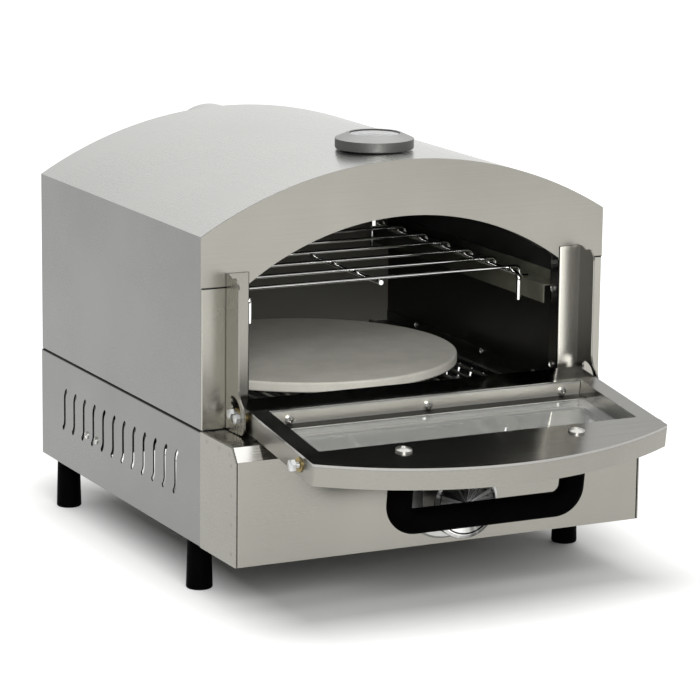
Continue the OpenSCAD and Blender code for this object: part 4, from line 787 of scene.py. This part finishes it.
class OVEN_OT_fittings(bpy.types.Operator):
    """Gives the knob, feet, rack, gas parts and thermometer their finishes, with a painted highlight on the knob's
    face and painted light and shade on the gauge's rim.
    """

    bl_idname = "oven.fittings"
    bl_label = "Fittings"

    def execute(self, context):
        grip = tuple(finishes().grip)
        bright = metal_material("plated_steel", (0.66, 0.65, 0.62), 0.16)
        give(bright, "foot_bolts", "valve_stem", "thermometer_nut", "thermometer_probe")
        give(metal_material("rack_chrome", (0.78, 0.78, 0.77), 0.10, 0.06), "warming_rack")
        give(metal_material("bezel_chrome", (0.52, 0.52, 0.51), 0.34, 0.05), "knob_bezel")
        # Painted shade on the gauge rim's bore, and painted light on its top faces
        bore = (lambda tree, at: towards_axis(tree, at, middle("thermometer_bezel")), (0.02, 0.02, 0.02))
        slope = (by_normal("Z", 0.4, 0.7), (0.42, 0.42, 0.41))
        give(metal_material("gauge_rim_steel", (0.135, 0.135, 0.13), 0.55, 0.06, (slope, bore)), "thermometer_bezel")
        give(metal_material("gauge_case_steel", (0.04, 0.04, 0.04), 0.5, 0.2), "thermometer_case")
        brass = metal_material("gas_brass", (0.62, 0.45, 0.20), 0.26, 0.18)
        give(brass, "gas_valve", "gas_supply_pipe", "gas_inlet", "valve_plug")
        give(metal_material("yellow_zinc", (0.26, 0.20, 0.09), 0.42, 0.25), "hinge_washers")
        rubber = painted_material(
            "foot_rubber", (0.0015, 0.0015, 0.0015), 0.5, 600.0, 0.0001, variation=0.3, shine=0.1, ior=1.15
        )
        give(rubber, *[f"foot_{a}_{b}" for a in ("front", "back") for b in ("left", "right")])
        give(painted_material("knob_moulding", grip, 0.22, 1500.0, 0.00002, variation=0.15, coat=0.3), "control_knob")
        dial = painted_material("dial_enamel", (0.55, 0.55, 0.53), 0.5, 500.0, 0.00002, variation=0.03)
        give(dial, "thermometer_dial")
        give(painted_material("needle_paint", (0.02, 0.02, 0.02), 0.4, 500.0, 0.00002), "thermometer_needle")
        gasket = painted_material("woven_gasket", (0.15, 0.15, 0.14), 0.85, 1600.0, 0.0003, variation=0.25)
        give(gasket, "glass_gasket")
        self.knob_face_finish()
        return {"FINISHED"}

    def knob_face_finish(self):
        """The knob's face is turned: its grain is noise over angle alone. A painted highlight lies on it in fans, and
        painted shade on its rim's faces that tilt down.
        """
        material, tree, shader, coords = new_material("turned_face_and_sheen")
        centre = middle("knob_face")
        shift = add(tree, "Mapping", {"Vector": coords, "Location": tuple(-centre)}).outputs[0]
        place = axes(tree, shift)
        angle = math_node(tree, "ARCTAN2", place["Z"], place["X"])
        # A painted highlight in fans, as light falls on radial brushing: bright where the angle's double sine is high
        painted_fan = math_node(tree, "SINE", product(tree, angle, 2.0))
        spokes = add(tree, "CombineXYZ", {0: product(tree, angle, 4.0)}).outputs[0]
        streak = noise(tree, spokes, 1.0, 1.0)
        grain_and_sheen = map_range(tree, math_node(tree, "ADD", product(tree, painted_fan, 0.5), streak), 0.1, 0.95)
        turned = mix_colour(tree, grain_and_sheen, (0.16, 0.16, 0.155), (0.95, 0.94, 0.93))
        # Painted shade on the rim's faces that look to the front and tilt down
        rim = product(tree, facing(tree, "Y", -0.92, -0.8), facing(tree, "Z", -0.5, -0.2))
        feed(tree, shader.inputs, {
            "Base Color": mix_colour(tree, rim, turned, (0.03, 0.03, 0.03)),
            "Roughness": map_range(tree, streak, 0.3, 0.7, 0.18, 0.32),
            "Normal": bump(tree, streak, 0.1, 0.00001),
            "Metallic": 1.0,
        })
        give(material, "knob_face")


class OVEN_OT_door_glass(bpy.types.Operator):
    """Gives the door its tinted glass."""

    bl_idname = "oven.door_glass"
    bl_label = "Door glass"

    def execute(self, context):
        give(glass_material("door_pane", tuple(finishes().glass), 0.05, 0.89), "door_glass")
        return {"FINISHED"}


class OVEN_OT_stone(bpy.types.Operator):
    """Gives the baking stone its fired, gritty surface."""

    bl_idname = "oven.stone"
    bl_label = "Baking stone"

    def execute(self, context):
        colour = tuple(finishes().stone)
        material, tree, shader, coords = new_material("fired_stone")
        g = place_group(tree, speckle_group(), coords, Scale=900.0)
        light = [min(1.0, c) for c in times(colour, 1.05)]
        base = mix_colour(tree, g["Mottle"], times(colour, 0.94), light)
        grit = map_range(tree, g["Grit"], 0.60, 0.72, 0.0, 0.35)
        base = mix_colour(tree, grit, base, (0.36, 0.33, 0.27))
        height = math_node(tree, "SUBTRACT", g["Grit"], product(tree, g["Pits"], 0.6))
        feed(tree, shader.inputs, {
            "Base Color": mix_colour(tree, product(tree, g["Pits"], 0.25), base, (0.30, 0.28, 0.24)),
            "Normal": bump(tree, height, 0.35, 0.0002),
            "Roughness": map_range(tree, g["Grit"], 0.3, 0.7, 0.80, 0.92),
        })
        give(material, "pizza_stone")
        return {"FINISHED"}


class OVEN_OT_screws(bpy.types.Operator):
    """Makes the cross-headed screws over the plain ones of the frame."""

    bl_idname = "oven.screws"
    bl_label = "Screws"

    def execute(self, context):
        plated = metal_material("screw_plating", (0.62, 0.61, 0.58), 0.34)
        out = (0.0, -math.cos(DOOR_TILT), -math.sin(DOOR_TILT))
        sets = (
            ("retainer_screws", "door", "strip_screw_set", lambda p: out, 2.4 * MM),
            ("side_screws", "oven", "side_screw_set", lambda p: (math.copysign(1, p[0]), 0, 0), 2.0 * MM),
            ("cavity_screws", "oven", "cavity_screw_set", lambda p: (-math.copysign(1, p[0]), 0, 0), None),
            ("flue_screws", "oven", "flue_screw_set", lambda p: (0, 1, 0), 2.0 * MM),
        )
        for node, body, name, outward, head_h in sets:
            meshes = []
            for i, points in enumerate(islands(node)):
                direction = outward(points.mean(axis=0))
                end, length = along(points, direction)
                spread = (points - np.array(end)) @ np.array(Vector(direction).orthogonal().normalized())
                head_r = float(spread.max())
                h = head_h or (2.2 * MM if head_r > 3 * MM else 1.6 * MM)
                mesh = screw_mesh(head_r, h, length, 0.44 * head_r)
                place = end - Vector(direction) * h
                meshes.append(moved(mesh, axis_matrix(place, direction, 0.4 + 1.1 * i)))
            new_piece(name, meshes, plated, body, "screw", node)
        self.handle_caps(plated)
        return {"FINISHED"}

    def handle_caps(self, plated):
        """The handle's screws: a wide domed head with a cross recess, and the sleeve between the door's sheets."""
        stack, head_h, head_r = 4.6 * MM, 3.4 * MM, 7.3 * MM
        bore, tube, depth = 2.6 * MM, 5 * MM, -17.6 * MM
        meshes = []
        for points in islands("handle_screws"):
            end, length = along(points, DOOR_UP)
            place = end - DOOR_UP * stack
            screw = screw_mesh(head_r, head_h, length - stack + head_h, 2.5 * MM, cross=0.34, dome=0.55)
            meshes.append(moved(screw, axis_matrix(place, DOOR_UP, 0.5)))
            sleeve = revolve("sleeve", [(bore, 0), (tube, 0), (tube, depth), (bore, depth), (bore, 0)], 32)
            meshes.append(moved(sleeve, axis_matrix(place - DOOR_UP * 1.0 * MM, DOOR_UP)))
        new_piece("handle_screw_set", meshes, plated, "door", "screw", "handle_screws")


class OVEN_OT_handle(bpy.types.Operator):
    """Makes the door's moulded handle with its tight corners."""

    bl_idname = "oven.handle"
    bl_label = "Handle"

    def execute(self, context):
        """A circle carried down a leg, round a quarter turn and along the bar, in the plane of the two legs."""
        solid = NODES["door_handle"].data
        points = np.empty(len(solid.vertices) * 3)
        solid.vertices.foreach_get("co", points)
        points = points.reshape(-1, 3) - np.array(DOOR_PIVOT)
        c, s = math.cos(DOOR_TILT), math.sin(DOOR_TILT)
        out, up = -(points[:, 1] * c + points[:, 2] * s), -points[:, 1] * s + points[:, 2] * c
        tube = float(out.max() - out.min()) / 2.0
        at, top, low = float(out.max() + out.min()) / 2.0, float(up.max()), float(up.min()) + tube
        half, bend = float(points[:, 0].max()) - tube, sizes().handle_bend
        turn = np.linspace(0.0, math.pi / 2.0, 17)
        bar = np.linspace(half - bend, 0.0, 10)[1:]
        side = np.concatenate([np.full(6, half), half - bend + bend * np.cos(turn), bar])
        leg = np.linspace(top, low + bend, 7)[:-1]
        height = np.concatenate([leg, low + bend - bend * np.sin(turn), np.full(9, low)])
        across = np.concatenate([np.zeros(6), -turn, np.full(9, -math.pi / 2.0)])
        side, height = np.concatenate([side, -side[-2::-1]]), np.concatenate([height, height[-2::-1]])
        across = np.concatenate([across, -math.pi - across[-2::-1]])
        round_t = around(40)
        side, height, across = (np.concatenate([a[:1], a, a[-1:]]) for a in (side, height, across))
        radius = np.concatenate([[0.0], np.full(len(side) - 2, tube), [0.0]])
        reach = radius[:, None] * np.cos(round_t)
        x = side[:, None] + reach * np.cos(across)[:, None]
        h = height[:, None] + reach * np.sin(across)[:, None]
        o = at + radius[:, None] * np.sin(round_t)
        pivot = np.array(DOOR_PIVOT)
        grid = np.stack([x, -o * c - h * s, -o * s + h * c], axis=2) + pivot
        coat = painted_material(
            "handle_coat", tuple(finishes().grip), 0.42, 1300.0, 0.00003, variation=0.2, shine=0.02, ior=1.12
        )
        grip = grid_mesh("grip", grid)
        new_piece("handle_grip", [grip], coat, "door", "handle_black", "door_handle")
        return {"FINISHED"}


class OVEN_OT_hinge_bolts(bpy.types.Operator):
    """Makes the door's pins and catch bolts, with chamfered heads and cut threads."""

    bl_idname = "oven.hinge_bolts"
    bl_label = "Hinge bolts"

    def execute(self, context):
        plated = metal_material("bolt_plating", (0.66, 0.67, 0.67), 0.42)
        zinc = metal_material("washer_zinc", (0.42, 0.33, 0.15), 0.42, 0.25)
        flats, nut = 8.0 * MM, 4.0 * MM
        inner, outer, thick = 6.3 * MM, 6.5 * MM, 1.2 * MM
        for node in ("pivot_bolts", "guide_bolts", "catch_bolts"):
            meshes, washers = [], []
            catch = node == "catch_bolts"
            shank_r = 2.5 * MM if catch else 3.2 * MM
            head, head_flats = (4.0 * MM, 9.6 * MM) if catch else (4.2 * MM, 8.0 * MM)
            for i, points in enumerate(islands(node)):
                side = math.copysign(1, points[:, 0].mean())
                direction = (side, 0, 0)
                end, length = along(points, direction)
                place = end - Vector(direction) * length
                m = axis_matrix(place, direction, 0.3 + i)
                if catch:
                    thread = thread_mesh(shank_r, length - head - 0.2 * MM, sizes().thread_pitch)
                    meshes.append(moved(thread, m))
                    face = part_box("door_outer_shell")[1].x - abs(place.x)
                    ring = [(shank_r, 0), (inner, 0), (outer, 0.2 * MM), (outer, 1.0 * MM), (inner, thick)]
                    ring += [(shank_r, thick), (shank_r, 0)]
                    washers.append(moved(revolve("washer", [(r, z + face) for r, z in ring]), m))
                else:
                    reach = length - head
                    shank = revolve("shank", [(0, 0), (shank_r, 0), (shank_r, reach), (0, reach)])
                    meshes.append(moved(shank, m))
                meshes.append(moved(hex_mesh(head_flats, head), m @ Matrix.Translation((0, 0, length - head))))
                meshes.append(moved(hex_mesh(flats, nut), m @ Matrix.Translation((0, 0, 1.0 * MM))))
            new_piece(node.replace("bolts", "bolt_set"), meshes, plated, "door", "screw", node)
            if washers:
                new_piece("catch_washer_set", washers, zinc, "door", "yellow_zinc")
        return {"FINISHED"}


class OVEN_OT_dial(bpy.types.Operator):
    """Marks the thermometer's dial with ticks and plain numbers."""

    bl_idname = "oven.dial"
    bl_label = "Dial marks"

    def execute(self, context):
        ink = painted_material("dial_ink", (0.02, 0.02, 0.025), 0.6, 400.0, 0.00001)
        centre = middle("thermometer_dial")
        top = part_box("thermometer_dial")[1].z + 0.02 * MM
        rim = (LENS_HIGH.x - LENS_LOW.x) / 2.0 - 5.5 * MM
        count = sizes().tick_count
        angles = np.radians(225.0 - 270.0 * np.arange(count) / (count - 1))
        long_mark = np.arange(count) % 5 == 0
        inner = rim - np.where(long_mark, sizes().tick_length, sizes().tick_length * 0.5)
        half = np.where(long_mark, 0.35 * MM, 0.18 * MM)
        out = np.stack([np.cos(angles), np.sin(angles)], axis=1)
        side = np.stack([-out[:, 1], out[:, 0]], axis=1)
        corners = []
        for r, s in ((inner, -half), (np.full(count, rim), -half), (np.full(count, rim), half), (inner, half)):
            corners.append(out * r[:, None] + side * s[:, None])
        xy = np.stack(corners, axis=1).reshape(-1, 2)
        low = np.column_stack([xy + np.array(centre[:2]), np.full(len(xy), top)])
        high = low + np.array([0, 0, 0.06 * MM])
        n = len(low)
        base = np.arange(0, n, 4)[:, None]
        faces = [(base + np.array([0, 1, 2, 3]) + n).tolist(), (base + np.array([3, 2, 1, 0])).tolist()]
        for a, b in ((0, 1), (1, 2), (2, 3), (3, 0)):
            faces.append((base + np.array([a, b, b + n, a + n])).tolist())
        mesh = bpy.data.meshes.new("ticks")
        mesh.from_pydata(np.concatenate([low, high]).tolist(), [], sum(faces, []))
        meshes = [mesh]
        for i, value in enumerate(range(0, 501, 100)):
            a = math.radians(225.0 - 270.0 * i / 5.0)
            r = rim - 7.6 * MM
            place = (centre.x + r * math.cos(a), centre.y + r * math.sin(a), top)
            meshes.append(self.number(str(value), place))
        new_piece("dial_marks", meshes, ink, "oven", "needle")
        self.lens(centre)
        return {"FINISHED"}

    def lens(self, centre):
        """A stepped glass that fills the bezel's bore: over its rim, the height is a circle's arc over the radius."""
        flange = (LENS_HIGH.x - LENS_LOW.x) / 2.0
        r, thick = flange - 3.15 * MM, LENS_HIGH.z - LENS_LOW.z
        bulge = 0.8 * MM
        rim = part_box("thermometer_bezel")[1].z - LENS_LOW.z - 1.1 * MM
        radii = np.linspace(r, 0.0, 14)
        ball = (r**2 + bulge**2) / (2.0 * bulge)
        arc = [(float(a), float(rim - ball + bulge + math.sqrt(ball**2 - a**2))) for a in radii]
        mesh = revolve("lens", [(0.0, 0.0), (flange, 0.0), (flange, thick), (r, thick), *arc], 72)
        place = Matrix.Translation((centre.x, centre.y, LENS_LOW.z))
        glass = glass_material("gauge_glass", (0.93, 0.95, 0.95), clear=0.8)
        new_piece("gauge_lens", [moved(mesh, place)], glass, "oven", "lens", "thermometer_lens")

    def number(self, text, place):
        curve = bpy.data.curves.new("number", "FONT")
        curve.body = text
        curve.size = 4.2 * MM
        curve.extrude = 0.03 * MM
        curve.resolution_u = 3
        curve.align_x, curve.align_y = "CENTER", "CENTER"
        holder = in_scene("number", curve)
        bpy.context.view_layer.update()
        mesh = bpy.data.meshes.new_from_object(holder.evaluated_get(bpy.context.evaluated_depsgraph_get()))
        bpy.data.objects.remove(holder)
        bpy.data.curves.remove(curve)
        mesh.materials.clear()
        return moved(mesh, Matrix.Translation(Vector(place) + Vector((0, 0, 0.03 * MM))))


class OVEN_OT_spot_welds(bpy.types.Operator):
    """Makes the faint spot welds along the front edges of the control box's sides."""

    bl_idname = "oven.spot_welds"
    bl_label = "Spot welds"

    def execute(self, context):
        red, green, blue = times(finishes().front_steel, 0.9)
        tint = metal_material("weld_spot", (red * 1.1, green * 1.06, blue), 0.32, 0.1)
        low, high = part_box("control_side_right")
        edge = 9.0 * MM
        step = sizes().weld_spacing
        heights = np.arange(low.z + 0.010, high.z - 0.014, step)
        spots = [(low.y + edge, z) for z in heights] + [(low.y + 13.0 * MM, high.z - 7.0 * MM)]
        spots += [(y, high.z - 6.0 * MM) for y in np.arange(low.y + 0.034, high.y - 0.005, step)]
        r, rise, sunk = 1.9 * MM, 0.10 * MM, -0.02 * MM
        ring = [(0, -sunk), (0.55 * r, 0.04 * MM), (0.8 * r, rise), (0.93 * r, 0.7 * rise), (r, sunk), (0, sunk)]
        meshes = []
        for side in (-1, 1):
            for y, z in spots:
                place = axis_matrix((side * high.x, y, z), (side, 0, 0))
                meshes.append(moved(revolve("spot", ring, 24), place))
        new_piece("spot_welds", meshes, tint, "oven", "steel")
        return {"FINISHED"}


class OVEN_OT_stage(bpy.types.Operator):
    """Makes the pale floor, the soft lights and the camera."""

    bl_idname = "oven.stage"
    bl_label = "Stage"

    def execute(self, context):
        self.floor()
        self.world(context.scene)
        self.lamps()
        self.camera(context.scene)
        context.scene.view_settings.view_transform = "Standard"
        return {"FINISHED"}

    def floor(self):
        reach, z = 6.0, CAD_BOUNDS[0][2]
        corners = [(-reach, -reach, z), (reach, -reach, z), (reach, reach, z), (-reach, reach, z)]
        mesh = bpy.data.meshes.new("floor")
        mesh.from_pydata(corners, [], [(0, 1, 2, 3)])
        floor = in_scene("floor", mesh)
        material, tree, shader, coords = new_material("pale_floor")
        # The white backdrop starts where the oven's soft shadow ends: the floor's glow fades out towards the oven, so
        # the shadow is partly the lamps' and partly painted shade
        low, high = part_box("base_shell")
        low, high = low + Vector((0.06, -0.10, 0.0)), high - Vector((0.02, 0.0, 0.0))
        place = axes(tree, coords)
        gaps = []
        for axis, start, end in (("X", low.x, high.x), ("Y", low.y, high.y)):
            before = math_node(tree, "SUBTRACT", start, place[axis])
            after = math_node(tree, "SUBTRACT", place[axis], end)
            gap = math_node(tree, "MAXIMUM", math_node(tree, "MAXIMUM", before, after), 0.0)
            gaps.append(product(tree, gap, gap))
        distance = math_node(tree, "SQRT", math_node(tree, "ADD", *gaps))
        near = map_range(tree, distance, 0.0, 0.10, 0.0, 0.62)
        away = math_node(tree, "ADD", near, map_range(tree, distance, 0.2, 1.6, 0.0, 0.2))
        rays = add(tree, "LightPath", {}).outputs
        seen = math_node(tree, "MAXIMUM", rays["Is Camera Ray"], rays["Is Transmission Ray"])
        seen = math_node(tree, "MAXIMUM", seen, rays["Is Glossy Ray"])
        feed(tree, shader.inputs, {
            "Base Color": (0.62, 0.62, 0.61, 1.0),
            "Roughness": 0.7,
            "Emission Color": (1.0, 1.0, 1.0, 1.0),
            "Emission Strength": product(tree, seen, away),
        })
        mesh.materials.append(material)

    def world(self, scene):
        """Ambient light that is a little dimmer on the left and low down, and white where the camera looks past it."""
        world = scene.world or bpy.data.worlds.new("studio")
        scene.world = world
        world.use_nodes = True
        tree = world.node_tree
        tree.nodes.clear()
        place = axes(tree, add(tree, "TexCoord", {}).outputs["Generated"])
        side = map_range(tree, place["X"], -0.8, 0.5, 0.35, 0.8)
        back = map_range(tree, place["Y"], -0.6, 0.9, 0.55, 1.0)
        rays = add(tree, "LightPath", {}).outputs
        seen = math_node(tree, "MAXIMUM", rays["Is Camera Ray"], rays["Is Transmission Ray"])
        level = add(tree, "Mix", {0: seen, 2: product(tree, side, back), 3: 1.0}, data_type="FLOAT").outputs[0]
        values = {"Color": (1.0, 1.0, 0.99, 1.0), "Strength": level}
        background = add(tree, "Background", values).outputs[0]
        add(tree, "OutputWorld", {"Surface": background})

    def lamps(self):
        aim = Vector((0.0, 0.0, 0.18))
        for name, place, size, power in (
            ("top_light", (0.0, 0.1, 1.6), 2.8, 19.0),
            ("front_light", (-0.7, -2.2, 1.25), 1.1, 48.0),
        ):
            data = bpy.data.lights.new(name, "AREA")
            data.shape = "SQUARE"
            data.size = size
            data.energy = power
            in_scene(name, data).matrix_world = axis_matrix(place, Vector(place) - aim)

    def camera(self, scene):
        """The camera looks in from the front left, a little above the oven, from three metres away."""
        yaw, pitch, roll = (math.radians(angle) for angle in (26.649, 12.111, 0.63))
        distance, shift_right, shift_up = 3.06159, 0.01699, 0.02438
        ahead = Vector((math.sin(yaw) * math.cos(pitch), math.cos(yaw) * math.cos(pitch), -math.sin(pitch)))
        right = Vector((math.cos(yaw), -math.sin(yaw), 0.0))
        up = right.cross(ahead)
        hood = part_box("hood_shell")[0]
        aim = Vector((0.0, hood.y + 0.150, hood.z + 0.001))
        centre = aim - ahead * distance + right * shift_right + up * shift_up
        turned_right = right * math.cos(roll) + up * math.sin(roll)
        turned_up = up * math.cos(roll) - right * math.sin(roll)
        data = bpy.data.cameras.new("camera")
        data.sensor_width = 36.0
        data.lens = 168.5
        data.clip_start, data.clip_end = 0.1, 50.0
        camera = in_scene("camera", data)
        rows = Matrix((turned_right, turned_up, -ahead)).transposed().to_4x4()
        camera.matrix_world = Matrix.Translation(centre) @ rows
        scene.camera = camera


class OVEN_PT_panel(bpy.types.Panel):
    """Lists the oven's operators and settings."""

    bl_label = "Pizza Oven"
    bl_space_type = "VIEW_3D"
    bl_region_type = "UI"
    bl_category = "Pizza Oven"

    def draw(self, context):
        layout = self.layout
        for operator in OPERATORS:
            layout.operator(operator.bl_idname)
        for settings in (context.scene.oven_finishes, context.scene.oven_sizes):
            for name in settings.__annotations__:
                layout.prop(settings, name)


OPERATORS = (
    OVEN_OT_sheet_metal,
    OVEN_OT_cavity,
    OVEN_OT_fittings,
    OVEN_OT_door_glass,
    OVEN_OT_stone,
    OVEN_OT_screws,
    OVEN_OT_handle,
    OVEN_OT_hinge_bolts,
    OVEN_OT_dial,
    OVEN_OT_spot_welds,
    OVEN_OT_stage,
)
CLASSES = (OvenFinishes, OvenSizes, *OPERATORS, OVEN_PT_panel)


def register():
    for cls in CLASSES:
        bpy.utils.register_class(cls)
    bpy.types.Scene.oven_finishes = PointerProperty(type=OvenFinishes)
    bpy.types.Scene.oven_sizes = PointerProperty(type=OvenSizes)


def unregister():
    del bpy.types.Scene.oven_sizes
    del bpy.types.Scene.oven_finishes
    for cls in reversed(CLASSES):
        bpy.utils.unregister_class(cls)


def main():
    register()
    for operator in OPERATORS:
        group, name = operator.bl_idname.split(".")
        getattr(getattr(bpy.ops, group), name)()


if __name__ == "__main__":
    main()
